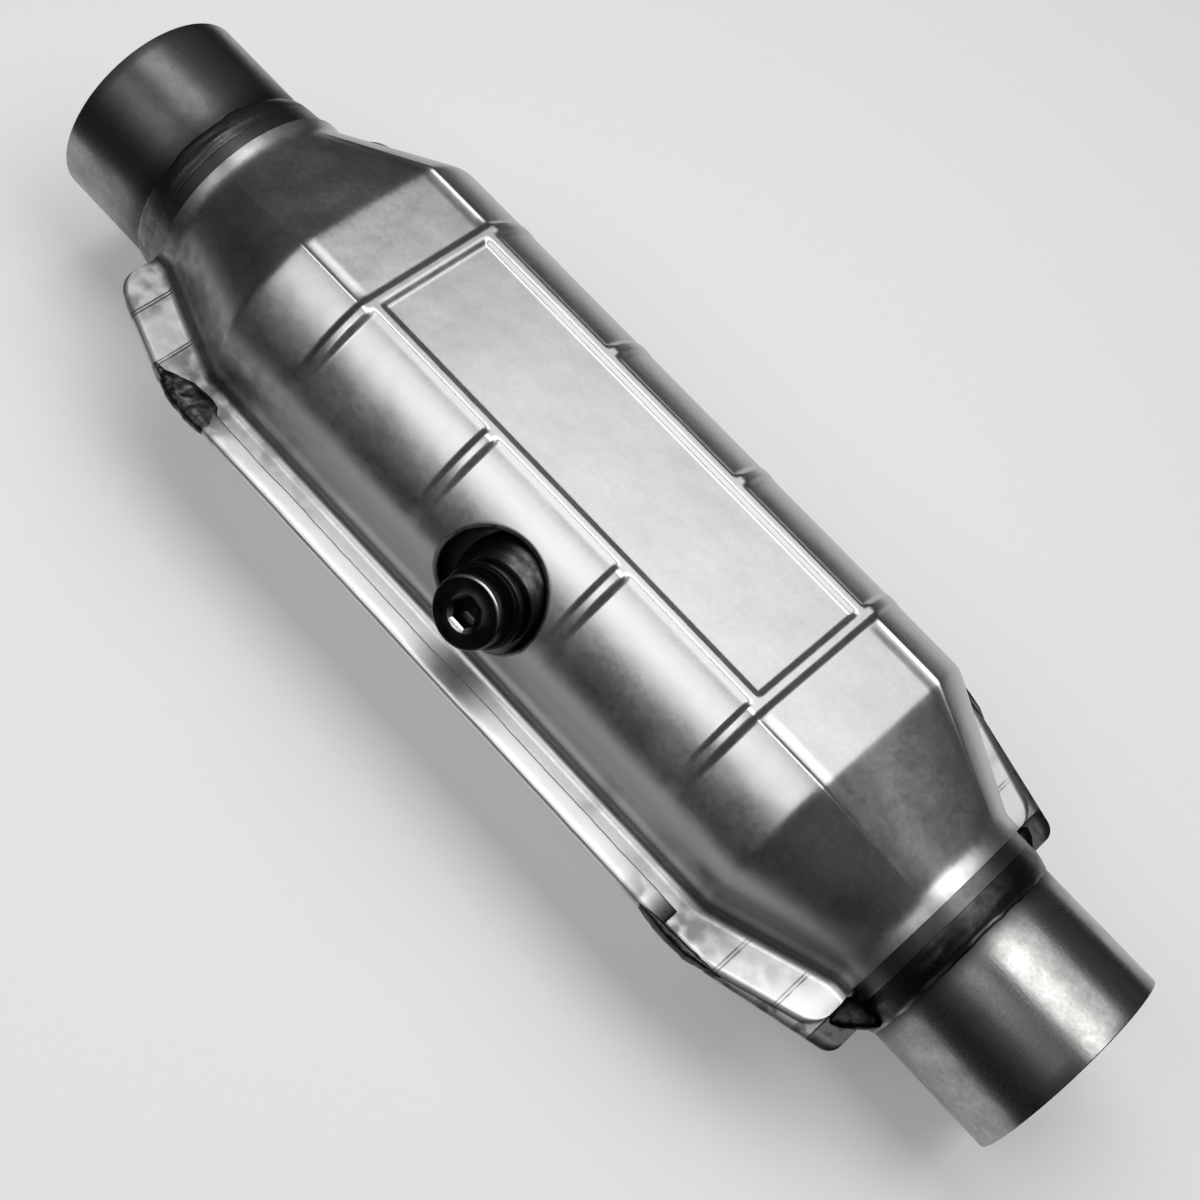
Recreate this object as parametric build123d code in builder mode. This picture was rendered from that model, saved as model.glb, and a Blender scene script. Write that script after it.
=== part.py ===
from build123d import *
import os
from math import acos, cos, degrees, hypot, radians, sin

os.makedirs("parts", exist_ok=True)

# A catalytic converter for a 63.5 mm (2.5 inch) exhaust pipe.
# A welded round can holds two ceramic bricks, and two pressed heat shields are hemmed together around it.
# Origin: centre of the inlet mouth on the pipe axis. +X is the way the gas flows.
# +Z is normal to the flat top of the upper shield. Millimetres throughout.

# Necks
neck_bore_radius = 31.9
neck_wall = 1.5
inlet_reach = 47.3
outlet_reach = 55.6
neck_insertion = 10.6
slip_clearance = 0.1

# Heat shields: a round pressing with a flat top, a cone and a short collar at each end
shield_sheet = 1.2
shield_flat_height = 49.9
shield_flat_width = 50.4
shield_body_length = 209.1
shield_cone_length = 38.3
shield_collar_length = 5.2

# Raised beads of the pressings
bead_height = 1.3
bead_base = 6.4
bead_top = 3.2
bead_sink = 0.3
frame_length = 161.2
frame_overhang = 0.2
middle_bead_pitch = 52.4
bead_fade_angle = 62.0
bead_fullness = 0.3

# Flanges and the hem that joins them along the sides
flange_width = 6.5
flange_end_width = 14.2
flange_taper_length = 33.5
flange_corner_radius = 9.0
flange_overhang = 0.8
flange_bend_radius = 1.3
hem_length = 201.0
hem_lip_width = 5.0
hem_play = 0.2
tab_reach = 8.7
tab_end_width = 15.2
tab_taper_length = 39.2
tab_corner_radius = 5.0
tab_clearance = 1.0

# Pressure can, its end cones and their liners
can_air_gap = 0.4
can_wall = 1.5
can_setback = 5.0
cone_wall = 1.5
cone_collar_reach = 4.9
cone_collar_overlap = 1.0
cone_skirt_length = 9.0
can_weld_leg = 2.6
liner_sheet = 1.0
liner_gap = 0.5

# Bricks, their mats and the mesh seals at the ends of the mats
mat_thickness = 3.4
brick_spacing = 30.7
brick_end_gap = 2.2
seal_length = 4.0

# Sensor port on the near side, closed by a plug
port_offset = 5.7
port_angle = 59.5
port_hole_offset = 3.5
port_hole_angle = 58.8
port_hole_radius = 18.5
bung_radius = 12.5
bung_height = 12.2
bung_bevel = 0.6
thread_radius = 9.0
thread_clearance = 0.1
thread_length = 12.5
can_port_radius = 9.8
bung_weld_leg = 5.0
gasket_radius = 11.7
gasket_thickness = 1.0
plug_head_radius = 10.8
plug_head_height = 4.8
plug_bevel = 0.8
plug_socket_size = 8.0
plug_socket_depth = 6.0

# Weld beads
neck_weld_length = 8.4
inlet_neck_weld_height = 1.7
outlet_neck_weld_height = 2.6
corner_weld_width = 6.0
corner_weld_taper_run = 2.5
corner_weld_hem_run = 22.0
corner_weld_cover = 1.4
corner_weld_round = 1.1
tab_weld_height = 2.0
tab_weld_round = 2.6
tab_weld_width = 6.0
tab_weld_length = 10.4

# Radii and places along the pipe axis, worked out from the sizes above
neck_radius = neck_bore_radius + neck_wall
cone_collar_radius = neck_radius + slip_clearance + cone_wall
shield_collar_radius = cone_collar_radius + slip_clearance + shield_sheet
shield_radius = hypot(shield_flat_height, shield_flat_width / 2)
flange_half_width = shield_radius + flange_width
flange_end_half_width = shield_collar_radius + flange_end_width
tab_end_half_width = shield_collar_radius + tab_end_width
can_radius = shield_flat_height - shield_sheet - can_air_gap
brick_radius = can_radius - can_wall - mat_thickness
bung_top = can_radius + bung_height
shield_start = inlet_reach
shield_length = 2 * (shield_collar_length + shield_cone_length) + shield_body_length
shield_end = shield_start + shield_length
overall_length = shield_end + outlet_reach
middle = shield_start + shield_length / 2
body_start = shield_start + shield_collar_length + shield_cone_length
can_start = body_start + can_setback
cone_start = shield_start - cone_collar_reach
cone_foot = shield_start + shield_collar_length + cone_collar_overlap
skirt_radius = can_radius - can_wall - slip_clearance
skirt_end = can_start + cone_skirt_length
brick_start = skirt_end + brick_end_gap
brick_length = middle - brick_spacing / 2 - brick_start
neck_end = cone_start + neck_insertion
port_x = middle + port_offset
plug_seat = bung_top + gasket_thickness
hem_start = middle - hem_length / 2
port_plane = Plane(
    origin=(port_x, 0, 0),
    x_dir=(1, 0, 0),
    z_dir=(0, -sin(radians(port_angle)), cos(radians(port_angle))),
)
port_hole_plane = Plane(
    origin=(middle + port_hole_offset, 0, 0),
    x_dir=(1, 0, 0),
    z_dir=(0, -sin(radians(port_hole_angle)), cos(radians(port_hole_angle))),
)
port_axis = Axis(port_plane.origin, port_plane.z_dir)
outlet_mirror = Plane.YZ.offset(middle)


def rim(radius, bearing):
    """Point of a circle about the pipe axis, its bearing in degrees from the top."""
    return (radius * sin(radians(bearing)), radius * cos(radians(bearing)))


def rim_arc(radius, first, last):
    """Arc about the pipe axis between two bearings."""
    return ThreePointArc(rim(radius, first), rim(radius, (first + last) / 2), rim(radius, last))


def body_section(x, flat_height, radius):
    """Upper half of the body: a flat between two creases, and an arc down to the seam on each side."""
    crease = degrees(acos(flat_height / radius))
    with BuildSketch(Plane.YZ.offset(x)) as section:
        with BuildLine():
            Line(rim(radius, -crease), rim(radius, crease))
            rim_arc(radius, crease, 90)
            Line((radius, 0), (-radius, 0))
            rim_arc(radius, -90, -crease)
        make_face()
    return section.sketch


def collar_section(x, radius, crease):
    """Upper half disc, its top arc ending at the bearing of the creases."""
    with BuildSketch(Plane.YZ.offset(x)) as section:
        with BuildLine():
            rim_arc(radius, -crease, crease)
            rim_arc(radius, crease, 90)
            Line((radius, 0), (-radius, 0))
            rim_arc(radius, -90, -crease)
        make_face()
    return section.sketch


def bead_section(x, rise, flat_height, radius):
    """Section at a cross bead: raised over the flat and the shoulders, sunk into the sides below them."""
    low = radius - bead_sink
    crease = degrees(acos((flat_height + rise) / (radius + rise)))
    shoulder = (crease + bead_fade_angle) / 2
    swell = radius + (rise - bead_sink) / 2 + max(rise, 0) * bead_fullness
    with BuildSketch(Plane.YZ.offset(x)) as section:
        with BuildLine():
            Line(rim(radius + rise, -crease), rim(radius + rise, crease))
            ThreePointArc(rim(radius + rise, crease), rim(swell, shoulder), rim(low, bead_fade_angle))
            rim_arc(low, bead_fade_angle, 90)
            Line((low, 0), (-low, 0))
            rim_arc(low, -90, -bead_fade_angle)
            ThreePointArc(rim(low, -bead_fade_angle), rim(swell, -shoulder), rim(radius + rise, -crease))
        make_face()
    return section.sketch


def cross_bead(x, inset):
    """A slice through the upper form that stands proud of it as a bead with sloping flanks."""
    flat_height = shield_flat_height - inset
    radius = shield_radius - inset
    foot = (bead_base - inset) / 2
    top = (bead_top - inset) / 2
    with BuildPart() as bead:
        slices = (
            bead_section(x - foot, -bead_sink, flat_height, radius),
            bead_section(x - top, bead_height, flat_height, radius),
            bead_section(x + top, bead_height, flat_height, radius),
            bead_section(x + foot, -bead_sink, flat_height, radius),
        )
        loft(slices, ruled=True)
    return bead.part


def frame_beads(inset):
    """The beads of one pressing: a frame round the flat, and two more that cross the shoulders only."""
    flat_height = shield_flat_height - inset
    foot = (bead_base - inset) / 2
    top = (bead_top - inset) / 2
    rail_y = shield_flat_width / 2 + frame_overhang - bead_base / 2
    end_x = (frame_length - bead_base) / 2
    with BuildPart() as beads:
        for side in (-1, 1):
            add(cross_bead(middle + side * middle_bead_pitch / 2, inset))
        with BuildSketch(Plane.XY.offset(flat_height)):
            with Locations((middle, 0)):
                Rectangle(2 * middle_bead_pitch, 2 * rail_y)
        extrude(amount=2 * bead_height, mode=Mode.SUBTRACT)
        for side in (-1, 1):
            add(cross_bead(middle + side * end_x, inset))
        with BuildSketch(Plane.YZ.offset(middle - end_x)):
            for side in (-1, 1):
                with BuildLine():
                    Polyline(
                        (side * rail_y - foot, flat_height - bead_sink),
                        (side * rail_y - top, flat_height + bead_height),
                        (side * rail_y + top, flat_height + bead_height),
                        (side * rail_y + foot, flat_height - bead_sink),
                        close=True,
                    )
                make_face()
        extrude(amount=2 * end_x)
    return beads.part


def shield_form(inset):
    """Solid bounded by the upper pressing: by its outer face at no inset, by its inner face at one sheet."""
    flat_height = shield_flat_height - inset
    radius = shield_radius - inset
    collar = shield_collar_radius - inset
    crease = degrees(acos(flat_height / radius))
    beads = frame_beads(inset)
    body = body_section(body_start, flat_height, radius)
    cone_end = collar_section(body_start - shield_cone_length, collar, crease)
    with BuildPart() as form:
        loft((body, cone_end), ruled=True)
        extrude(cone_end, amount=-shield_collar_length)
        mirror(about=outlet_mirror)
        extrude(body, amount=shield_body_length)
        add(beads)
    return form.part


def flange_outline(half_width, outlet_end, outlet_half_width, outlet_taper, outlet_corner):
    """Plan of a flange: parallel sides that taper to both ends, with rounded corners."""
    inlet_end = shield_start - flange_overhang
    slope = (flange_half_width - flange_end_half_width) / flange_taper_length
    inlet_shoulder = inlet_end + (half_width - flange_end_half_width) / slope
    outlet_slope = (flange_half_width - outlet_half_width) / outlet_taper
    outlet_shoulder = outlet_end - (half_width - outlet_half_width) / outlet_slope
    with BuildSketch() as outline:
        with BuildLine():
            Polyline(
                (inlet_end, -flange_end_half_width),
                (inlet_shoulder, -half_width),
                (outlet_shoulder, -half_width),
                (outlet_end, -outlet_half_width),
                (outlet_end, outlet_half_width),
                (outlet_shoulder, half_width),
                (inlet_shoulder, half_width),
                (inlet_end, flange_end_half_width),
                close=True,
            )
        make_face()
        fillet(outline.vertices().group_by(Axis.X)[0], flange_corner_radius)
        fillet(outline.vertices().group_by(Axis.X)[-1], outlet_corner)
    return outline.sketch


def wall_half_width(x):
    """Half width of the pressing at the seam: it grows along the cones and is even along the body."""
    share = (shield_length / 2 - shield_collar_length - abs(x - middle)) / shield_cone_length
    return shield_collar_radius + min(share, 1) * (shield_radius - shield_collar_radius)


def wall_foot(shield, level):
    """Edges at one level where the body and its cones meet the flange, well inside the flange's own edges."""
    cone_end = body_start - shield_cone_length
    edges = shield.edges().filter_by_position(Axis.Z, level, level)
    edges = edges.filter_by_position(Axis.X, cone_end, 2 * middle - cone_end)
    return edges.filter_by(lambda edge: abs(edge.center().Y) < wall_half_width(edge.center().X) + flange_width / 2)


outer_form = shield_form(0)
inner_form = shield_form(shield_sheet)

# Upper heat shield: the flange lies on the seam plane and the port hole is a little wider than the port needs
with BuildPart() as upper_shield:
    plan = flange_outline(
        flange_half_width - hem_play,
        shield_end + flange_overhang,
        flange_end_half_width,
        flange_taper_length,
        flange_corner_radius,
    )
    extrude(plan, amount=shield_sheet)
    add(outer_form)
    add(inner_form, mode=Mode.SUBTRACT)
    with BuildSketch(Plane.YZ):
        Circle(shield_collar_radius - shield_sheet)
    extrude(amount=overall_length, mode=Mode.SUBTRACT)
    fillet(wall_foot(upper_shield, shield_sheet), flange_bend_radius)
    fillet(wall_foot(upper_shield, 0), flange_bend_radius + shield_sheet)
    with BuildSketch(port_hole_plane.offset(bung_radius)):
        Circle(port_hole_radius)
    extrude(amount=shield_radius, mode=Mode.SUBTRACT)

# Lower heat shield: the same pressing turned over, its flange longer at the outlet and hemmed over the upper one
with BuildPart() as lower_shield:
    plan = flange_outline(
        flange_half_width,
        shield_end + tab_reach,
        tab_end_half_width,
        tab_taper_length,
        tab_corner_radius,
    )
    extrude(plan, amount=-shield_sheet)
    with BuildSketch(Plane.XY):
        with Locations((shield_end + tab_reach, 0)):
            Rectangle(2 * tab_reach, 2 * (shield_collar_radius + tab_clearance))
    extrude(amount=-shield_sheet, mode=Mode.SUBTRACT)
    add(mirror(outer_form, about=Plane.XY, mode=Mode.PRIVATE))
    add(mirror(inner_form, about=Plane.XY, mode=Mode.PRIVATE), mode=Mode.SUBTRACT)
    with BuildSketch(Plane.YZ):
        Circle(shield_collar_radius - shield_sheet)
    extrude(amount=overall_length, mode=Mode.SUBTRACT)
    fillet(wall_foot(lower_shield, -shield_sheet), flange_bend_radius)
    fillet(wall_foot(lower_shield, 0), flange_bend_radius + shield_sheet)
    for side in (-1, 1):
        with BuildSketch(Plane.YZ.offset(hem_start)):
            with Locations((side * flange_half_width, shield_sheet / 2)):
                Circle(1.5 * shield_sheet)
                Circle(0.5 * shield_sheet, mode=Mode.SUBTRACT)
            with Locations((side * (flange_half_width - shield_sheet), shield_sheet / 2)):
                Rectangle(2 * shield_sheet, 3 * shield_sheet, mode=Mode.SUBTRACT)
            with Locations((side * (flange_half_width - hem_lip_width / 2), 1.5 * shield_sheet)):
                Rectangle(hem_lip_width, shield_sheet)
        extrude(amount=hem_length)

# Converter can: the welded round tube that holds the bricks, with a hole at the sensor port
with BuildPart() as converter_can:
    with BuildSketch(Plane.YZ.offset(can_start)):
        Circle(can_radius)
        Circle(can_radius - can_wall, mode=Mode.SUBTRACT)
    extrude(amount=2 * (middle - can_start))
    with BuildSketch(port_plane.offset(bung_radius)):
        Circle(can_port_radius)
    extrude(amount=can_radius, mode=Mode.SUBTRACT)


def cone_profile_points():
    """Outer line of the pressure cone, from its neck collar to its skirt inside the can."""
    return (
        (cone_start, cone_collar_radius),
        (cone_foot, cone_collar_radius),
        (can_start, skirt_radius),
        (skirt_end, skirt_radius),
    )


# Inlet cone: collar over the neck, cone, and a skirt that slips into the can
with BuildPart() as inlet_cone:
    with BuildSketch(Plane.XZ):
        with BuildLine():
            outside = Polyline(*cone_profile_points())
            inside = Polyline(*[(x, r - cone_wall) for x, r in cone_profile_points()])
            Line(outside @ 0, inside @ 0)
            Line(outside @ 1, inside @ 1)
        make_face()
    revolve(axis=Axis.X)

with BuildPart() as outlet_cone:
    mirror(inlet_cone.part, about=outlet_mirror)

# Necks: plain tubes that take the exhaust pipe inside them
with BuildPart() as inlet_neck:
    with BuildSketch(Plane.YZ):
        Circle(neck_radius)
        Circle(neck_bore_radius, mode=Mode.SUBTRACT)
    extrude(amount=neck_end)

with BuildPart() as outlet_neck:
    with BuildSketch(Plane.YZ.offset(overall_length)):
        Circle(neck_radius)
        Circle(neck_bore_radius, mode=Mode.SUBTRACT)
    extrude(amount=2 * middle - neck_end - overall_length)


def neck_weld(height):
    """A wide ring bead in the corner between the inlet cone's collar and its neck."""
    bead_toe = (cone_start - neck_weld_length, neck_radius)
    bead_heel = (cone_start, cone_collar_radius + slip_clearance)
    bead_crown = (cone_start - neck_weld_length / 3, neck_radius + height)
    with BuildPart() as weld:
        with BuildSketch(Plane.XZ):
            with BuildLine():
                ThreePointArc(bead_toe, bead_crown, bead_heel)
                Line(bead_heel, (cone_start, neck_radius))
                Line((cone_start, neck_radius), bead_toe)
            make_face()
        revolve(axis=Axis.X)
    return weld.part


# Neck welds: the inlet one is flat, the outlet one is built up
with BuildPart() as inlet_neck_weld:
    add(neck_weld(inlet_neck_weld_height))

with BuildPart() as outlet_neck_weld:
    mirror(neck_weld(outlet_neck_weld_height), about=outlet_mirror)

# Can welds: a fillet weld between the can's end and the cone
with BuildPart() as inlet_can_weld:
    with BuildSketch(Plane.XZ):
        with BuildLine():
            Line((can_start - can_weld_leg, can_radius - can_weld_leg), (can_start, can_radius - can_weld_leg))
            Line((can_start, can_radius - can_weld_leg), (can_start, can_radius))
            Line((can_start, can_radius), (can_start - can_weld_leg, can_radius - can_weld_leg))
        make_face()
    revolve(axis=Axis.X)
    add(inlet_cone.part, mode=Mode.SUBTRACT)

with BuildPart() as outlet_can_weld:
    mirror(inlet_can_weld.part, about=outlet_mirror)

# Liner cones: thin inner cones, welded to the skirts by a lip, that keep the heat off the pressure cones
liner_start = neck_end + liner_gap
liner_lip = skirt_end - liner_sheet
liner_radius = neck_bore_radius + liner_sheet
skirt_bore_radius = skirt_radius - cone_wall


def liner_outer_radius(x):
    """Radius of the liner's outer face at a place along the axis."""
    return liner_radius + (x - liner_start) * (brick_radius - liner_radius) / (liner_lip - liner_start)


def cone_inner_radius(x):
    """Radius of the pressure cone's inner face between its collar and its skirt."""
    collar_bore = cone_collar_radius - cone_wall
    return collar_bore + (x - cone_foot) * (skirt_bore_radius - collar_bore) / (can_start - cone_foot)


with BuildPart() as inlet_liner_cone:
    with BuildSketch(Plane.XZ):
        with BuildLine():
            Polyline(
                (liner_start, liner_radius),
                (liner_lip, brick_radius),
                (liner_lip, skirt_bore_radius),
                (skirt_end, skirt_bore_radius),
                (skirt_end, brick_radius - liner_sheet),
                (liner_start, liner_radius - liner_sheet),
                close=True,
            )
        make_face()
    revolve(axis=Axis.X)

with BuildPart() as outlet_liner_cone:
    mirror(inlet_liner_cone.part, about=outlet_mirror)

# Cone insulation: fibre packed between each liner and its pressure cone
with BuildPart() as inlet_cone_insulation:
    with BuildSketch(Plane.XZ):
        with BuildLine():
            packing_start = max(liner_start, cone_foot)
            Polyline(
                (packing_start, liner_outer_radius(packing_start)),
                (packing_start, cone_inner_radius(packing_start)),
                (can_start, skirt_bore_radius),
                (liner_lip, skirt_bore_radius),
                (liner_lip, brick_radius),
                close=True,
            )
        make_face()
    revolve(axis=Axis.X)

with BuildPart() as outlet_cone_insulation:
    mirror(inlet_cone_insulation.part, about=outlet_mirror)

# Bricks: the ceramic honeycombs, with a space between them for the sensor's tip
with BuildPart() as front_brick:
    with BuildSketch(Plane.YZ.offset(brick_start)):
        Circle(brick_radius)
    extrude(amount=brick_length)

with BuildPart() as rear_brick:
    mirror(front_brick.part, about=outlet_mirror)

# Support mats: fibre wrapped round each brick, between a mesh seal at each end
mat_start = brick_start + seal_length
mat_length = brick_length - 2 * seal_length
with BuildPart() as front_mat:
    with BuildSketch(Plane.YZ.offset(mat_start)):
        Circle(can_radius - can_wall)
        Circle(brick_radius, mode=Mode.SUBTRACT)
    extrude(amount=mat_length)

with BuildPart() as rear_mat:
    mirror(front_mat.part, about=outlet_mirror)

# Mesh seals: knitted wire rings that guard the ends of the mats
with BuildPart() as front_mat_inlet_seal:
    with BuildSketch(Plane.YZ.offset(brick_start)):
        Circle(can_radius - can_wall)
        Circle(brick_radius, mode=Mode.SUBTRACT)
    extrude(amount=seal_length)

with BuildPart() as front_mat_outlet_seal:
    with BuildSketch(Plane.YZ.offset(mat_start + mat_length)):
        Circle(can_radius - can_wall)
        Circle(brick_radius, mode=Mode.SUBTRACT)
    extrude(amount=seal_length)

with BuildPart() as rear_mat_inlet_seal:
    mirror(front_mat_outlet_seal.part, about=outlet_mirror)

with BuildPart() as rear_mat_outlet_seal:
    mirror(front_mat_inlet_seal.part, about=outlet_mirror)

# Sensor bung: a threaded boss that stands on the can and rises through the hole in the shield
can_axis_solid = Rot(0, 90, 0) * Cylinder(can_radius, 4 * can_radius)
with BuildPart() as sensor_bung:
    with BuildSketch(port_plane):
        Circle(bung_radius)
    extrude(amount=bung_top)
    chamfer(sensor_bung.faces().sort_by(port_axis)[-1].edges(), bung_bevel)
    with BuildSketch(port_plane):
        Circle(thread_radius)
    extrude(amount=bung_top, mode=Mode.SUBTRACT)
    add(Pos(port_x, 0, 0) * can_axis_solid, mode=Mode.SUBTRACT)

# Bung weld: a fat bead in the corner between the bung and the can
with BuildPart() as bung_weld:
    with BuildSketch(port_plane):
        Circle(bung_radius + bung_weld_leg)
        Circle(bung_radius, mode=Mode.SUBTRACT)
    extrude(amount=can_radius + bung_weld_leg)
    fillet(bung_weld.edges().group_by(port_axis)[-1].sort_by(SortBy.LENGTH)[-1], bung_weld_leg * 0.9)
    add(Pos(port_x, 0, 0) * can_axis_solid, mode=Mode.SUBTRACT)

# Port plug: a hexagon socket plug that seats on a flat gasket
with BuildPart() as port_plug:
    with BuildSketch(port_plane.offset(plug_seat)):
        Circle(plug_head_radius)
    extrude(amount=plug_head_height)
    chamfer(port_plug.faces().sort_by(port_axis)[-1].edges(), plug_bevel)
    with BuildSketch(port_plane.offset(plug_seat)):
        Circle(thread_radius - thread_clearance)
    extrude(amount=-thread_length)
    with BuildSketch(port_plane.offset(plug_seat + plug_head_height)):
        RegularPolygon(plug_socket_size / 2, 6, major_radius=False)
    extrude(amount=-plug_socket_depth, mode=Mode.SUBTRACT)

with BuildPart() as plug_gasket:
    with BuildSketch(port_plane.offset(bung_top)):
        Circle(gasket_radius)
        Circle(thread_radius, mode=Mode.SUBTRACT)
    extrude(amount=gasket_thickness)

# Corner welds: a thick bead over the flange edges, from the taper to past the end of the hem
flange_end = shield_start - flange_overhang
corner_welds = {}
for end, turn in (("inlet", -1), ("outlet", 1)):
    shoulder_x = middle + turn * (middle - flange_end - flange_taper_length)
    taper_drop = corner_weld_taper_run * (flange_half_width - flange_end_half_width) / flange_taper_length
    for hand, side in (("left", -1), ("right", 1)):
        with BuildPart() as corner_weld:
            with BuildSketch(Plane.XY.offset(-shield_sheet - corner_weld_cover)):
                with Locations(
                    (shoulder_x + turn * corner_weld_taper_run, side * (flange_half_width - taper_drop)),
                    (shoulder_x, side * flange_half_width),
                    (shoulder_x - turn * corner_weld_hem_run, side * flange_half_width),
                ):
                    Circle(corner_weld_width / 2)
                make_hull()
            extrude(amount=3 * shield_sheet + 2 * corner_weld_cover)
            chamfer(corner_weld.edges().group_by(Axis.Z)[-1], corner_weld_round)
            chamfer(corner_weld.edges().group_by(Axis.Z)[0], corner_weld_round)
            add(upper_shield.part, mode=Mode.SUBTRACT)
            add(lower_shield.part, mode=Mode.SUBTRACT)
        corner_welds[f"{end}_{hand}_corner_weld"] = corner_weld

# Tab welds: flat pads of weld that tie the lower shield's long tabs to the outlet cone's collar and neck weld
tab_weld_start = shield_end + flange_overhang
tab_welds = {}
for hand, side in (("left", -1), ("right", 1)):
    first_x = tab_weld_start + tab_weld_round
    last_x = tab_weld_start + tab_weld_length - tab_weld_round
    with BuildPart() as tab_weld:
        with BuildSketch(Plane.XY):
            with Locations(
                (first_x, side * cone_collar_radius),
                (first_x, side * (cone_collar_radius + tab_weld_width)),
                (last_x, side * cone_collar_radius),
            ):
                Circle(tab_weld_round)
            make_hull()
        extrude(amount=tab_weld_height)
        with BuildSketch(Plane.YZ.offset(tab_weld_start)):
            Circle(cone_collar_radius)
        extrude(amount=tab_weld_length, mode=Mode.SUBTRACT)
        add(outlet_neck_weld.part, mode=Mode.SUBTRACT)
    tab_welds[f"outlet_{hand}_tab_weld"] = tab_weld

pieces = {
    "upper_shield": upper_shield,
    "lower_shield": lower_shield,
    "converter_can": converter_can,
    "inlet_cone": inlet_cone,
    "outlet_cone": outlet_cone,
    "inlet_neck": inlet_neck,
    "outlet_neck": outlet_neck,
    "inlet_neck_weld": inlet_neck_weld,
    "outlet_neck_weld": outlet_neck_weld,
    "inlet_can_weld": inlet_can_weld,
    "outlet_can_weld": outlet_can_weld,
    "inlet_liner_cone": inlet_liner_cone,
    "outlet_liner_cone": outlet_liner_cone,
    "inlet_cone_insulation": inlet_cone_insulation,
    "outlet_cone_insulation": outlet_cone_insulation,
    "front_brick": front_brick,
    "rear_brick": rear_brick,
    "front_mat": front_mat,
    "rear_mat": rear_mat,
    "front_mat_inlet_seal": front_mat_inlet_seal,
    "front_mat_outlet_seal": front_mat_outlet_seal,
    "rear_mat_inlet_seal": rear_mat_inlet_seal,
    "rear_mat_outlet_seal": rear_mat_outlet_seal,
    "sensor_bung": sensor_bung,
    "bung_weld": bung_weld,
    "port_plug": port_plug,
    "plug_gasket": plug_gasket,
    **corner_welds,
    **tab_welds,
}
for name, piece in pieces.items():
    piece.part.label = name
    export_step(piece.part, f"parts/{name}.step")
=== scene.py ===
import math

import bpy
import numpy as np
from mathutils import Matrix, Vector


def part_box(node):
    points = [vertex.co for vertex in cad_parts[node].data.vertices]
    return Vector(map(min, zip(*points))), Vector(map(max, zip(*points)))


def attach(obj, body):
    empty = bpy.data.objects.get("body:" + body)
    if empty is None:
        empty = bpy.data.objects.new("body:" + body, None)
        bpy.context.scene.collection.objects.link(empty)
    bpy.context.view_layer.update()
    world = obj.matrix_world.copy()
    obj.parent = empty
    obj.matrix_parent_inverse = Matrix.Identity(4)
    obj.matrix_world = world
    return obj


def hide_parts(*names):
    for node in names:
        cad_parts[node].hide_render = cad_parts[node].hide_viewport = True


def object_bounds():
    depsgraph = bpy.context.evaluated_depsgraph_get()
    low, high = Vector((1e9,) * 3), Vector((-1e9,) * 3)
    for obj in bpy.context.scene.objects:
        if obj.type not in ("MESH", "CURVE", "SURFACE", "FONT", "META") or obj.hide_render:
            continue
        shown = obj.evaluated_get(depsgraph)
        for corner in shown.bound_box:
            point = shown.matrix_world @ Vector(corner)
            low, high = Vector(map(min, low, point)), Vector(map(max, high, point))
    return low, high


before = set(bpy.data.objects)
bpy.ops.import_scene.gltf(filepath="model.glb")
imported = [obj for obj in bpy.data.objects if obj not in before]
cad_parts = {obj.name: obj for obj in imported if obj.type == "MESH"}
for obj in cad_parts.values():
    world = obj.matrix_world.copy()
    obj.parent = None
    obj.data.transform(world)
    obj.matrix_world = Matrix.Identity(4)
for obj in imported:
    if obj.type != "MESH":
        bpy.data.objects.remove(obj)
cad_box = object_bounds()

# The looks of a catalytic converter: satin pressed stainless heat shields with raised beads and a hemmed
# flange, mill-finish neck tubes, dark oxidised welds, a black sensor plug and the honeycomb bricks seen
# through the necks. Shapes are worked out in millimetres and put into the meshes in metres. X runs along the
# pipe, Z is up.

MM = 0.001


def corner(node, end):
    """One corner of a CAD node's box in millimetres: end 0 is the lowest, end 1 the highest."""
    return np.array(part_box(node)[end]) / MM


# Sizes read from the frame
shield_low, shield_high = corner("upper_shield", 0), corner("upper_shield", 1)
neck_radius = corner("inlet_neck", 1)[2]
inlet_neck_end = corner("inlet_neck", 1)[0]
outlet_neck_start = corner("outlet_neck", 0)[0]
overall_length = corner("outlet_neck", 1)[0]
cone_start = corner("inlet_cone", 0)[0]
skirt_end = corner("inlet_cone", 1)[0]
skirt_radius = corner("inlet_cone", 1)[2]
can_start = corner("converter_can", 0)[0]
can_radius = corner("converter_can", 1)[2]
weld_toe = corner("inlet_neck_weld", 0)[0]
brick_start, brick_end = corner("front_brick", 0)[0], corner("front_brick", 1)[0]
brick_radius = corner("front_brick", 1)[2]
liner_start = corner("inlet_liner_cone", 0)[0]
middle = (shield_low[0] + shield_high[0]) / 2

# Sizes of the pressings that a box doesn't give
SHEET = 1.2
BEAD_HEIGHT = 1.3
FLANGE_OVERHANG = 0.8
COLLAR_LENGTH = 5.2
CONE_LENGTH = 38.3
COLLAR_RADIUS = 36.3
FLAT_HALF_WIDTH = 25.2
FLANGE_WIDTH = 6.5
FLANGE_END_HALF_WIDTH = 50.5
FLANGE_TAPER = 33.5
FLANGE_CORNER = 9.0
TAB_REACH = 8.7
TAB_END_HALF_WIDTH = 51.5
TAB_TAPER = 39.2
TAB_CORNER = 5.0
TAB_INNER = 37.3
HEM_LENGTH = 201.0
HEM_LIP = 5.0
BEAD_TOP = 1.5
BEAD_BASE = 6.6
FRAME_LENGTH = 161.2
RAIL_PLACE = 22.2
MIDDLE_BEAD_PITCH = 52.4

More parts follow.
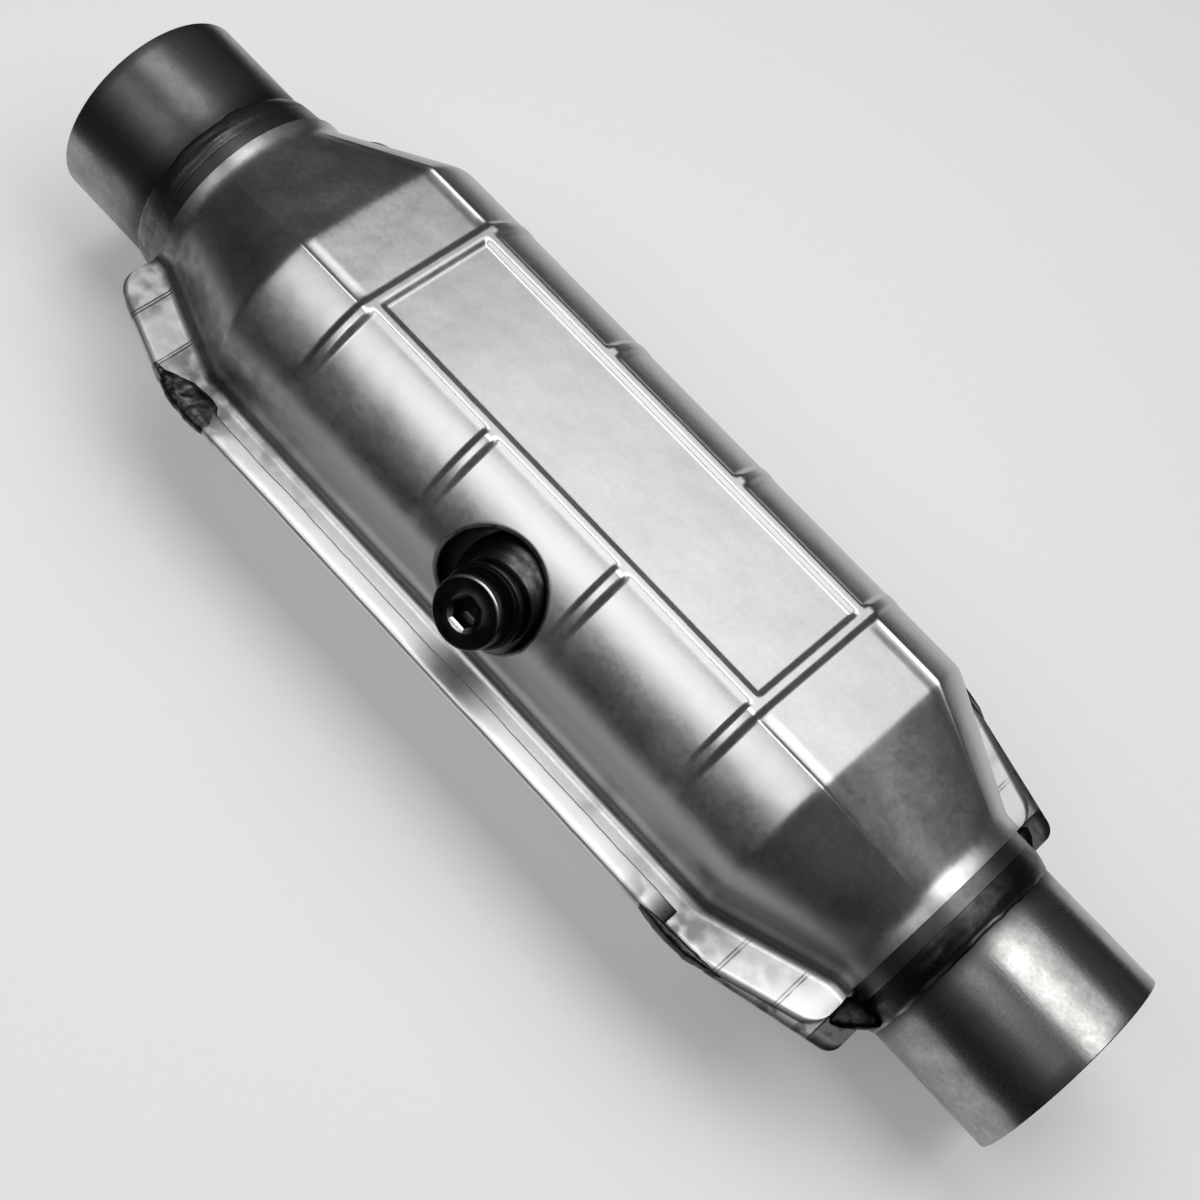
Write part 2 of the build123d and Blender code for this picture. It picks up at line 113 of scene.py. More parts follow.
flat_height = shield_high[2] - BEAD_HEIGHT
side_radius = math.hypot(flat_height, FLAT_HALF_WIDTH)
crease_bearing = math.acos(flat_height / side_radius)
shield_start = shield_low[0] + FLANGE_OVERHANG
shield_end = shield_high[0] - FLANGE_OVERHANG
body_start = shield_start + COLLAR_LENGTH + CONE_LENGTH
flange_half_width = side_radius + FLANGE_WIDTH
end_bead_place = (FRAME_LENGTH - 6.4) / 2

# The sensor port, whose axis leans from the top towards -Y
PORT_ANGLE = math.radians(59.5)
PORT_OFFSET = 5.7
HOLE_ANGLE = math.radians(58.3)
HOLE_OFFSET = 3.1
PORT_HOLE_RADIUS = 19.3
HOLE_LIP = 1.4
BUNG_RADIUS = 12.5
THREAD_RADIUS = 9.0
PLUG_HEAD_RADIUS = 10.7
PLUG_HEAD_HEIGHT = 7.4
GASKET_RADIUS = 11.7
GASKET_THICKNESS = 1.0
PLUG_SHANK_RADIUS = 8.9
PLUG_EDGE = 0.8
SOCKET_SIZE = 8.0
SOCKET_DEPTH = 6.0
COUNTERSINK_RADIUS = 5.75
BUNG_HEIGHT = 12.2
port_x = middle + PORT_OFFSET
hole_x = middle + HOLE_OFFSET
port_axis = np.array([0.0, -math.sin(PORT_ANGLE), math.cos(PORT_ANGLE)])
bung_top = can_radius + BUNG_HEIGHT

# Camera of the photograph: its place, the point it looks at and its own right hand
CAMERA_PLACE = (327.5, -308.1, 522.3)
CAMERA_LOOK = (-0.18634, 0.49207, -0.85038)
CAMERA_RIGHT = (0.67836, 0.69055, 0.25094)
CAMERA_FOCAL_PIXELS = 2091.4
PHOTO_WIDTH = 1200
SENSOR_WIDTH = 36.0


def smooth_step(low, high, value):
    """0 below low, 1 above high, and an S curve 3t squared minus 2t cubed between them."""
    t = np.clip((value - low) / (high - low), 0.0, 1.0)
    return t * t * (3.0 - 2.0 * t)


def lattice_value(ix, iy, iz, seed):
    """A fixed pseudo-random number from -1 to 1 for each whole-number point: the fraction of a large sine."""
    mixed = np.sin(ix * 127.1 + iy * 311.7 + iz * 74.7 + seed * 53.3) * 43758.5453
    return 2.0 * (mixed - np.floor(mixed)) - 1.0


def lumps(points, size, seed):
    """Smooth noise from -1 to 1: values at the corners of cubes of the given size, blended inside each
    cube."""
    scaled = points / size
    base = np.floor(scaled)
    f = scaled - base
    f = f * f * (3.0 - 2.0 * f)
    total = np.zeros(points.shape[:-1])
    for dx in (0, 1):
        for dy in (0, 1):
            for dz in (0, 1):
                weight = (
                    (f[..., 0] if dx else 1 - f[..., 0])
                    * (f[..., 1] if dy else 1 - f[..., 1])
                    * (f[..., 2] if dz else 1 - f[..., 2])
                )
                value = lattice_value(base[..., 0] + dx, base[..., 1] + dy, base[..., 2] + dz, seed)
                total += weight * value
    return total


def grid_faces(rows, columns, first=0, wrap_rows=False, wrap_columns=False):
    """Quads between neighbouring points of a grid whose points are numbered row by row from first."""
    i = np.arange(rows if wrap_rows else rows - 1)
    j = np.arange(columns if wrap_columns else columns - 1)
    i, j = np.meshgrid(i, j, indexing="ij")
    below = (i + 1) % rows
    right = (j + 1) % columns
    corners = (i * columns + j, below * columns + j, below * columns + right, i * columns + right)
    return np.stack(corners, axis=-1).reshape(-1, 4) + first


def grid_border(rows, columns):
    """Point numbers round the border of a grid, in order."""
    return np.concatenate(
        (
            np.arange(columns),
            np.arange(1, rows) * columns + columns - 1,
            (rows - 1) * columns + np.arange(columns - 2, -1, -1),
            np.arange(rows - 2, 0, -1) * columns,
        )
    )


def strip_faces(loop_a, loop_b, closed=True):
    """Quads between two rows of point numbers of the same length."""
    loop_a, loop_b = np.asarray(loop_a), np.asarray(loop_b)
    if closed:
        next_a, next_b = np.roll(loop_a, -1), np.roll(loop_b, -1)
        return np.stack((loop_a, loop_b, next_b, next_a), axis=-1)
    return np.stack((loop_a[:-1], loop_b[:-1], loop_b[1:], loop_a[1:]), axis=-1)


def make_piece(name, points, faces, material, replaces, attributes=None, smooth=True):
    """Puts points in millimetres and faces of 3 or 4 corners into a mesh that rides on the body."""
    mesh = bpy.data.meshes.new(name)
    faces = [np.asarray(f) for f in (faces if isinstance(faces, list) else [faces])]
    points = np.asarray(points, float)
    corners = np.concatenate([f.ravel() for f in faces]).astype(np.int32)
    sizes = np.concatenate([np.full(len(f), f.shape[1]) for f in faces]).astype(np.int32)
    starts = np.concatenate(([0], np.cumsum(sizes)[:-1])).astype(np.int32)
    mesh.vertices.add(len(points))
    mesh.vertices.foreach_set("co", (points * MM).astype(np.float32).ravel())
    mesh.loops.add(len(corners))
    mesh.loops.foreach_set("vertex_index", corners)
    mesh.polygons.add(len(sizes))
    mesh.polygons.foreach_set("loop_start", starts)
    mesh.polygons.foreach_set("loop_total", sizes)
    mesh.polygons.foreach_set("use_smooth", np.full(len(sizes), smooth))
    for label, values in (attributes or {}).items():
        layer = mesh.attributes.new(label, "FLOAT", "POINT")
        layer.data.foreach_set("value", np.asarray(values, np.float32).ravel())
    mesh.update(calc_edges=True)
    mesh.validate()
    mesh.materials.append(material)
    piece = bpy.data.objects.new(name, mesh)
    bpy.context.scene.collection.objects.link(piece)
    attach(piece, "root")
    if replaces:
        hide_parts(*replaces)
    return piece


def join_shells(shells):
    """Several (points, faces list, attributes) as one: points in a row, and face numbers moved along."""
    points, faces, attributes, first = [], [], {}, 0
    for shell_points, shell_faces, shell_attributes in shells:
        points.append(shell_points)
        faces += [f + first for f in shell_faces]
        for label, values in shell_attributes.items():
            attributes.setdefault(label, []).append(values)
        first += len(shell_points)
    joined = {label: np.concatenate(values) for label, values in attributes.items()}
    return np.concatenate(points), faces, joined


# Materials


def linear(code):
    """An sRGB hex colour as linear red, green, blue and a full alpha."""
    parts = [int(code[i:i + 2], 16) / 255 for i in (1, 3, 5)]
    return tuple(p / 12.92 if p <= 0.04045 else ((p + 0.055) / 1.055) ** 2.4 for p in parts) + (1.0,)


def per_metre(size_mm):
    """Texture scale on Object coordinates for a pattern of a real size in millimetres."""
    return 1.0 / (size_mm * MM)


def add_node(tree, kind, sockets=None, output=0, **settings):
    """Adds a node with its settings, gives its inputs a value or another node's output, and returns one of
    its outputs, the first one unless told otherwise."""
    made = tree.nodes.new("ShaderNode" + kind)
    for label, value in settings.items():
        setattr(made, label, value)
    for key, value in (sockets or {}).items():
        if isinstance(value, bpy.types.NodeSocket):
            tree.links.new(value, made.inputs[key])
        else:
            made.inputs[key].default_value = value
    return made.outputs[output]


# A Mix node's colours are its inputs 6 and 7, its share is input 0, and its colour comes out at 2
COLOURS = {"output": 2, "data_type": "RGBA"}


def new_material(name, **shader_values):
    """A material with its shader and Object coordinates ready, and the shader's even values set on its
    sockets."""
    material = bpy.data.materials.new(name)
    material.use_nodes = True
    tree = material.node_tree
    tree.nodes.clear()
    output = tree.nodes.new("ShaderNodeOutputMaterial")
    shader = tree.nodes.new("ShaderNodeBsdfPrincipled")
    tree.links.new(shader.outputs[0], output.inputs[0])
    for label, value in shader_values.items():
        shader.inputs[label.replace("_", " ")].default_value = value
    place = add_node(tree, "TexCoord", output="Object")
    return material, tree, shader, place


def satin_pressed_stainless():
    """Stainless sheet as rolled and deep drawn: a soft satin with cloudy mottling and fine grain.
    The flange is paler, the sides carry a painted grey shade low down, and it is sooty and dull beside the
    welds and darkened by painted shade in other places."""
    material, tree, shader, place = new_material("satin_pressed_stainless", Metallic=1.0)
    cloudy = {"Scale": per_metre(14.0), "Detail": 3.0, "Roughness": 0.55}
    speckled = {"Scale": per_metre(1.6), "Detail": 3.0, "Roughness": 0.6}
    clouds = add_node(tree, "TexNoise", {"Vector": place, **cloudy})
    mottle = add_node(tree, "TexNoise", {"Vector": place, **speckled})
    patches = add_node(tree, "TexNoise", {"Vector": place, "Scale": per_metre(4.5), "Detail": 1.5})
    waves = add_node(tree, "TexNoise", {"Vector": place, "Scale": per_metre(9.0), "Detail": 1.0})
    grain = add_node(tree, "TexNoise", {"Vector": place, "Scale": per_metre(0.45)})
    burnish = add_node(tree, "Attribute", output="Fac", attribute_name="burnish")
    bloom = add_node(tree, "Attribute", output="Fac", attribute_name="bloom")
    soot = add_node(tree, "Attribute", output="Fac", attribute_name="soot")
    # Thin soot and painted shade are patchy, and thick ones are even
    patchy = add_node(tree, "MapRange", {"Value": patches, "From Min": 0.35, "From Max": 0.6, "To Min": 0.25})
    thin = add_node(tree, "Math", {0: soot, 1: patchy}, operation="MULTIPLY")
    thick = add_node(tree, "MapRange", {"Value": soot, "From Min": 0.6, "From Max": 1.0})
    soot_and_shade_share = add_node(tree, "Math", {0: thin, 1: thick}, operation="MAXIMUM")
    share = add_node(tree, "MapRange", {"Value": clouds, "From Min": 0.3, "From Max": 0.7})
    colour = add_node(tree, "Mix", {0: share, 6: linear("#C4C4C3"), 7: linear("#D3D3D2")}, **COLOURS)
    levels = {"From Min": 0.25, "From Max": 0.75, "To Min": 0.86}
    speckle = add_node(tree, "MapRange", {"Value": mottle, **levels})
    colour = add_node(tree, "Mix", {0: 1.0, 6: colour, 7: speckle}, blend_type="MULTIPLY", **COLOURS)
    paler = add_node(tree, "Math", {0: burnish, 1: 0.6}, operation="MULTIPLY")
    colour = add_node(tree, "Mix", {0: paler, 6: colour, 7: linear("#E4E4E3")}, **COLOURS)
    # Painted shade: grey low down on the sides
    colour = add_node(tree, "Mix", {0: bloom, 6: colour, 7: linear("#8A8A89")}, **COLOURS)
    # Soot, and painted shade where the sheet's marks ask for it, darken it towards a dark grey
    colour = add_node(tree, "Mix", {0: soot_and_shade_share, 6: colour, 7: linear("#3B3A38")}, **COLOURS)
    tree.links.new(colour, shader.inputs["Base Color"])
    dull = add_node(
        tree, "MapRange", {"Value": clouds, "From Min": 0.3, "From Max": 0.7, "To Min": 0.30, "To Max": 0.36}
    )
    fine_dull = add_node(
        tree, "MapRange", {"Value": mottle, "From Min": 0.3, "From Max": 0.7, "To Min": -0.02, "To Max": 0.03}
    )
    dull = add_node(tree, "Math", {0: dull, 1: fine_dull}, operation="ADD")
    dull = add_node(tree, "Math", {0: burnish, 1: 0.08, 2: dull}, operation="MULTIPLY_ADD")
    dull = add_node(tree, "Math", {0: soot_and_shade_share, 1: 0.2, 2: dull}, operation="MULTIPLY_ADD")
    tree.links.new(dull, shader.inputs["Roughness"])
    relief = add_node(tree, "Bump", {"Height": waves, "Distance": 0.25 * MM, "Strength": 0.35})
    fine = {"Height": grain, "Distance": 0.02 * MM, "Strength": 0.5, "Normal": relief}
    relief = add_node(tree, "Bump", fine)
    tree.links.new(relief, shader.inputs["Normal"])
    return material


def mill_finish_tube():
    """Welded stainless tube with its dull mill finish: darker than the shields, stained in blotches and
    streaks."""
    material, tree, shader, place = new_material("mill_finish_tube", Metallic=1.0)
    blotchy = {"Scale": per_metre(11.0), "Detail": 4.0, "Roughness": 0.62, "Distortion": 0.4}
    stains = add_node(tree, "TexNoise", {"Vector": place, **blotchy})
    spotted = {"Scale": per_metre(1.3), "Detail": 3.0, "Roughness": 0.65}
    spots = add_node(tree, "TexNoise", {"Vector": place, **spotted})
    streak_place = add_node(tree, "Mapping", {"Vector": place, "Scale": (0.12, 1.0, 1.0)})
    streaks = add_node(tree, "TexNoise", {"Vector": streak_place, "Scale": per_metre(1.1), "Detail": 3.0})
    soot = add_node(tree, "Attribute", output="Fac", attribute_name="soot")
    stained = add_node(tree, "MapRange", {"Value": stains, "From Min": 0.3, "From Max": 0.68})
    colour = add_node(tree, "Mix", {0: stained, 6: linear("#8E8E8C"), 7: linear("#B4B4B2")}, **COLOURS)
    for marks, low, darkest in ((spots, 0.25, 0.80), (streaks, 0.3, 0.92)):
        levels = {"From Min": low, "From Max": 0.7, "To Min": darkest}
        shade = add_node(tree, "MapRange", {"Value": marks, **levels})
        colour = add_node(tree, "Mix", {0: 1.0, 6: colour, 7: shade}, blend_type="MULTIPLY", **COLOURS)
    # Darkens towards near black: heat stain on the necks, heat stain and painted shade on the cone collars
    colour = add_node(tree, "Mix", {0: soot, 6: colour, 7: linear("#262524")}, **COLOURS)
    tree.links.new(colour, shader.inputs["Base Color"])
    dull = add_node(
        tree, "MapRange", {"Value": stains, "From Min": 0.3, "From Max": 0.7, "To Min": 0.29, "To Max": 0.22}
    )
    fine_dull = add_node(
        tree, "MapRange", {"Value": spots, "From Min": 0.3, "From Max": 0.7, "To Min": 0.03, "To Max": -0.02}
    )
    dull = add_node(tree, "Math", {0: dull, 1: fine_dull}, operation="ADD")
    dull = add_node(tree, "Math", {0: soot, 1: 0.15, 2: dull}, operation="MULTIPLY_ADD")
    tree.links.new(dull, shader.inputs["Roughness"])
    height = add_node(tree, "Math", {0: streaks, 1: spots}, operation="ADD")
    relief = add_node(tree, "Bump", {"Height": height, "Distance": 0.03 * MM, "Strength": 0.5})
    tree.links.new(relief, shader.inputs["Normal"])
    return material


def weld_finish(name, dark, light, scale_mm, relief_mm):
    """Weld metal: uneven patches between two greys, mottled by scale, with a dull sheen on the high ground
    and lighter where the piece's own attribute asks for it: painted highlights on some pieces, lighter
    patches on others."""
    material, tree, shader, place = new_material(name, Metallic=1.0)
    patched = {"Scale": per_metre(5.0), "Detail": 4.0, "Roughness": 0.6}
    patches = add_node(tree, "TexNoise", {"Vector": place, **patched})
    scaly = {"Scale": per_metre(scale_mm), "Detail": 3.0, "Roughness": 0.6}
    scale = add_node(tree, "TexNoise", {"Vector": place, **scaly})
    bare_and_glint = add_node(tree, "Attribute", output="Fac", attribute_name="bare_and_glint")
    patchy = add_node(tree, "MapRange", {"Value": patches, "From Min": 0.35, "From Max": 0.7})
    colour = add_node(tree, "Mix", {0: patchy, 6: linear(dark), 7: linear(light)}, **COLOURS)
    shade = add_node(tree, "MapRange", {"Value": scale, "From Min": 0.25, "From Max": 0.75, "To Min": 0.6})
    colour = add_node(tree, "Mix", {0: 1.0, 6: colour, 7: shade}, blend_type="MULTIPLY", **COLOURS)
    colour = add_node(tree, "Mix", {0: bare_and_glint, 6: colour, 7: linear("#A9A8A6")}, **COLOURS)
    tree.links.new(colour, shader.inputs["Base Color"])
    dull = add_node(
        tree, "MapRange", {"Value": patches, "From Min": 0.3, "From Max": 0.7, "To Min": 0.44, "To Max": 0.28}
    )
    tree.links.new(dull, shader.inputs["Roughness"])
    relief = add_node(tree, "Bump", {"Height": scale, "Distance": relief_mm * MM, "Strength": 0.6})
    tree.links.new(relief, shader.inputs["Normal"])
    return material


def mottled_finish(
    name, size_mm, detail, roughness, low, colours, dull=None, relief=None, bare_and_glint=None, **shader_values
):
    """A finish that one noise of a real size mottles between two colours and, where dull gives them, between
    two roughnesses. Relief is a noise's size in mm, detail and roughness, its depth in mm and its strength.
    Bare_and_glint is the colour where the piece's own attribute asks for it: finish rubbed off, and painted
    glints."""
    material, tree, shader, place = new_material(name, **shader_values)
    blotchy = {"Scale": per_metre(size_mm), "Detail": detail, "Roughness": roughness}
    blotches = add_node(tree, "TexNoise", {"Vector": place, **blotchy})
    share = add_node(tree, "MapRange", {"Value": blotches, "From Min": low, "From Max": 0.7})
    colour = add_node(tree, "Mix", {0: share, 6: linear(colours[0]), 7: linear(colours[1])}, **COLOURS)
    if bare_and_glint:
        lightened = add_node(tree, "Attribute", output="Fac", attribute_name="bare_and_glint")
        colour = add_node(tree, "Mix", {0: lightened, 6: colour, 7: linear(bare_and_glint)}, **COLOURS)
    tree.links.new(colour, shader.inputs["Base Color"])
    if dull:
        levels = {"From Min": low, "From Max": 0.7, "To Min": dull[0], "To Max": dull[1]}
        tree.links.new(add_node(tree, "MapRange", {"Value": blotches, **levels}), shader.inputs["Roughness"])
    if relief:
        grain_size, grain_detail, grain_roughness, depth, strength = relief
        grainy = {"Scale": per_metre(grain_size), "Detail": grain_detail, "Roughness": grain_roughness}
        grain = add_node(tree, "TexNoise", {"Vector": place, **grainy})
        bump = add_node(tree, "Bump", {"Height": grain, "Distance": depth * MM, "Strength": strength})
        tree.links.new(bump, shader.inputs["Normal"])
    return material


def knitted_wire():
    """Rings of knitted stainless wire: a dense bright mesh, drawn as a weave of 1 mm loops with painted shade
    in the gaps.
    """
    material, tree, shader, place = new_material("knitted_wire", Metallic=1.0)
    loops = add_node(tree, "TexVoronoi", {"Vector": place, "Scale": per_metre(1.0)})
    # Painted shade: darker away from each loop's middle, in the gaps of the weave
    between = add_node(tree, "MapRange", {"Value": loops, "From Min": 0.1, "From Max": 0.6})
    colour = add_node(tree, "Mix", {0: between, 6: linear("#9A9996"), 7: linear("#2E2D2B")}, **COLOURS)
    tree.links.new(colour, shader.inputs["Base Color"])
    dull = add_node(tree, "MapRange", {"Value": loops, "From Max": 0.6, "To Min": 0.35, "To Max": 0.6})
    tree.links.new(dull, shader.inputs["Roughness"])
    relief = add_node(tree, "Bump", {"Height": loops, "Distance": 0.3 * MM, "Strength": 0.7})
    tree.links.new(relief, shader.inputs["Normal"])
    return material


pressed_steel = satin_pressed_stainless()
tube_steel = mill_finish_tube()
# Welds as they cooled: black oxide at the outlet, a grey heat stain at the inlet neck, soot on the tabs,
# rough scale at the inlet's flange corners and a greyer bead round the bung
weld_metal = weld_finish("oxidised_weld", "#2E2D2C", "#4E4D4C", 0.9, 0.05)
stained_weld = weld_finish("heat_stained_weld", "#5C5B5A", "#7C7B7A", 0.9, 0.03)
sooty_weld = weld_finish("sooty_weld", "#1D1D1C", "#323130", 1.4, 0.04)
rough_weld = weld_finish("scaly_weld", "#333231", "#626163", 1.6, 0.08)
grey_weld = weld_finish("grey_weld", "#454443", "#777674", 0.8, 0.08)
# Machined steel with a black oxide finish: near black, with a little rubbing on its edges and painted glints
# where they catch the light
black_steel = mottled_finish(
    "black_oxide_steel", 4.0, 3.0, 0.5, 0.3, ("#2E2E2E", "#3C3C3B"), dull=(0.26, 0.34),
    relief=(0.3, 2.0, 0.5, 0.01, 0.5), bare_and_glint="#BEBEBD", Metallic=1.0,
)
# A crushed copper washer that heat has turned nearly black
copper = mottled_finish(
    "oxidised_copper", 2.0, 3.0, 0.5, 0.3, ("#1C1B1A", "#272423"), dull=(0.42, 0.55), Metallic=1.0,
)
# Stainless steel inside the pipe, stained by heat to a dull grey
liner_steel = mottled_finish(
    "heat_stained_steel", 9.0, 3.0, 0.6, 0.3, ("#6E6C69", "#908E8A"), dull=(0.5, 0.38),
    relief=(0.8, 2.0, 0.5, 0.02, 0.5), Metallic=1.0,
)
# The can under the shields: stainless painted nearly black, a painted shade for where it lies in the port's
# hole
can_steel = mottled_finish(
    "can_steel_painted_shade", 6.0, 3.0, 0.5, 0.3, ("#363534", "#545352"), dull=(0.55, 0.42), Metallic=1.0,
)
# Washcoated cordierite honeycomb: matt, pale sand with a brown cast, fine grained
ceramic = mottled_finish(
    "cordierite_ceramic", 12.0, 3.0, 0.5, 0.3, ("#A39682", "#B8AC98"),
    relief=(0.4, 2.0, 0.5, 0.03, 0.6), Roughness=0.85,
)
# Vermiculite and ceramic fibre mat: off-white felt with darker flakes
fibre = mottled_finish(
    "ceramic_fibre", 1.5, 3.0, 0.7, 0.4, ("#C9C2B2", "#8F8674"),
    relief=(1.5, 3.0, 0.7, 0.3, 0.8), Roughness=0.95,
)
wire_mesh = knitted_wire()


# The pressing: a half section carried along the pipe axis


# The shoulder is an arc about the pipe axis, then a tighter arc turns it upright, and a level wall goes down
WALL_HALF_WIDTH = 50.4
CREASE_BLUR = 0.2
TURN_BEARING = math.radians(52.0)
TURN_RADIUS = (WALL_HALF_WIDTH - side_radius * math.sin(TURN_BEARING)) / (1 - math.sin(TURN_BEARING))
TURN_RUN = FLAT_HALF_WIDTH + side_radius * (TURN_BEARING - crease_bearing)
UPRIGHT_RUN = TURN_RUN + TURN_RADIUS * (math.pi / 2 - TURN_BEARING)
UPRIGHT_TOP = (side_radius - TURN_RADIUS) * math.cos(TURN_BEARING)


def body_half_section():
    """The outer line of the body from the middle of its flat round to the seam, as run, y and z: a level
    line, an arc about the pipe axis, a tighter arc and an upright, blurred a little so that the crease is
    soft."""
    step = 0.05
    run = np.arange(-20.0, UPRIGHT_RUN + UPRIGHT_TOP + 10.0, step)
    bearing = crease_bearing + (run - FLAT_HALF_WIDTH) / side_radius
    tight = TURN_BEARING + (np.clip(run, TURN_RUN, UPRIGHT_RUN) - TURN_RUN) / TURN_RADIUS
    past_turn = side_radius - TURN_RADIUS
    turn_y = past_turn * math.sin(TURN_BEARING) + TURN_RADIUS * np.sin(tight)
    upright = np.maximum(run - UPRIGHT_RUN, 0.0)
    turn_z = past_turn * math.cos(TURN_BEARING) + TURN_RADIUS * np.cos(tight) - upright
    parts = (run < FLAT_HALF_WIDTH, run < TURN_RUN)
    y = np.select(parts, (run, side_radius * np.sin(bearing)), turn_y)
    z = np.select(parts, (np.full_like(run, flat_height), side_radius * np.cos(bearing)), turn_z)
    blur = np.exp(-0.5 * (np.arange(-3.0, 3.0 + step, step) / CREASE_BLUR) ** 2)
    blur /= blur.sum()
    reach = len(blur) // 2
    y = np.convolve(y, blur, "same")[reach:-reach]
    z = np.convolve(z, blur, "same")[reach:-reach]
    run = run[reach:-reach]
    return run, y, z


section_run, section_y, section_z = body_half_section()
tilt_y, tilt_z = np.gradient(section_y, section_run), np.gradient(section_z, section_run)

# The wall stops where the bend to the flange begins, and the run goes on through the bend and the flange
BEND_RADIUS = 3.6
WALL_FOOT = SHEET + BEND_RADIUS
WALL_RUN = UPRIGHT_RUN + UPRIGHT_TOP - WALL_FOOT
BODY_FOOT_BEARING = math.atan2(WALL_HALF_WIDTH, WALL_FOOT)
COLLAR_FOOT_BEARING = math.acos(WALL_FOOT / COLLAR_RADIUS)
BEND_RUN = 4.0
FLANGE_RUN = 6.0
FULL_RUN = WALL_RUN + BEND_RUN + FLANGE_RUN


def bead_profile(distance):
    """1 on a bead's crown and 0 past its foot, an S curve down each flank."""
    return 1.0 - smooth_step(BEAD_TOP / 2, BEAD_BASE / 2, np.abs(distance))


def bead_lift(x, run):
    """Height of the raised beads: two rails and two end beads that frame the flat, joined with rounded
    corners, and two middle beads that start at the rails. Those that cross the shoulders fade out down the
    sides."""
    side = np.abs(run)
    along = np.abs(x - middle)
    fade = 1.0 - smooth_step(33.0, 62.0, np.degrees(crease_bearing + (side - FLAT_HALF_WIDTH) / side_radius))
    end_bead = bead_profile(along - end_bead_place) * fade
    rail = bead_profile(side - RAIL_PLACE) * smooth_step(end_bead_place + 1.5, end_bead_place - 1.0, along)
    middle_bead = bead_profile(along - MIDDLE_BEAD_PITCH / 2) * fade
    middle_bead *= smooth_step(RAIL_PLACE - 1.5, RAIL_PLACE, side)
    union = 1.0 - (1.0 - end_bead) * (1.0 - rail) * (1.0 - middle_bead)
    return BEAD_HEIGHT * union


def crease_lip(x, run):
    """Beyond the frame the flat sinks gently towards its crease and comes up again just before it."""
    inside = FLAT_HALF_WIDTH - np.abs(run)
    groove = smooth_step(5.0, 1.5, inside) * smooth_step(-0.05, 1.35, inside)
    outside = smooth_step(end_bead_place + 2.5, end_bead_place + 5.0, np.abs(x - middle))
    return -0.28 * outside * groove


def cone_share(x):
    """0 along the body and 1 along the collars, an even ramp between them with its two folds rounded."""
    reach = body_start - np.minimum(x, 2 * middle - x)
    soft = 1.0
    fold = np.sqrt(reach**2 + soft**2)
    far = reach - CONE_LENGTH
    far_fold = np.sqrt(far**2 + soft**2)
    ramp = ((reach + fold) - (far + far_fold)) / (2 * CONE_LENGTH)
    return np.clip(ramp, 0.0, 1.0)


def taper_edge(reach, end_half_width, taper, round_radius, half_width):
    """Half width of a flange at a distance from its end: a rounded corner, a straight taper, then even."""
    slope = (flange_half_width - end_half_width) / taper
    hold = math.sqrt(1 + slope * slope)
    centre = end_half_width + slope * round_radius - round_radius * hold
    tangent = round_radius - round_radius * slope / hold
    off = np.clip(round_radius - reach, 0.0, round_radius)
    arc = centre + np.sqrt(round_radius**2 - off**2)
    line = end_half_width + slope * reach
    return np.minimum(np.where(reach < tangent, arc, line), half_width)


def upper_edge(x):
    """Half width of the upper flange."""
    reach = np.minimum(x, 2 * middle - x) - shield_low[0]
    return taper_edge(reach, FLANGE_END_HALF_WIDTH, FLANGE_TAPER, FLANGE_CORNER, flange_half_width - 0.2)


def lower_edge(x):
    """Half width of the lower flange, which runs on past the upper one at the outlet."""
    inlet_reach = x - shield_low[0]
    inlet = taper_edge(inlet_reach, FLANGE_END_HALF_WIDTH, FLANGE_TAPER, FLANGE_CORNER, flange_half_width)
    outlet_reach = shield_end + TAB_REACH - x
    outlet = taper_edge(outlet_reach, TAB_END_HALF_WIDTH, TAB_TAPER, TAB_CORNER, flange_half_width)
    return np.minimum(inlet, outlet)


SCORE_PLACES = (middle - 58.6, middle - 76.2)
SCORE_DEPTH = 0.03
SCORE_WIDTH = 0.22


def score_lines(x):
    """Two fine lines side by side, at each of two places on the taper at both ends: shallow press marks."""
    along = np.abs(x - middle)
    depth = 0.0
    for place in SCORE_PLACES:
        for shift in (-0.5, 0.5):
            depth = depth + np.exp(-(((along - place - shift) / SCORE_WIDTH) ** 2))
    return SCORE_DEPTH * depth


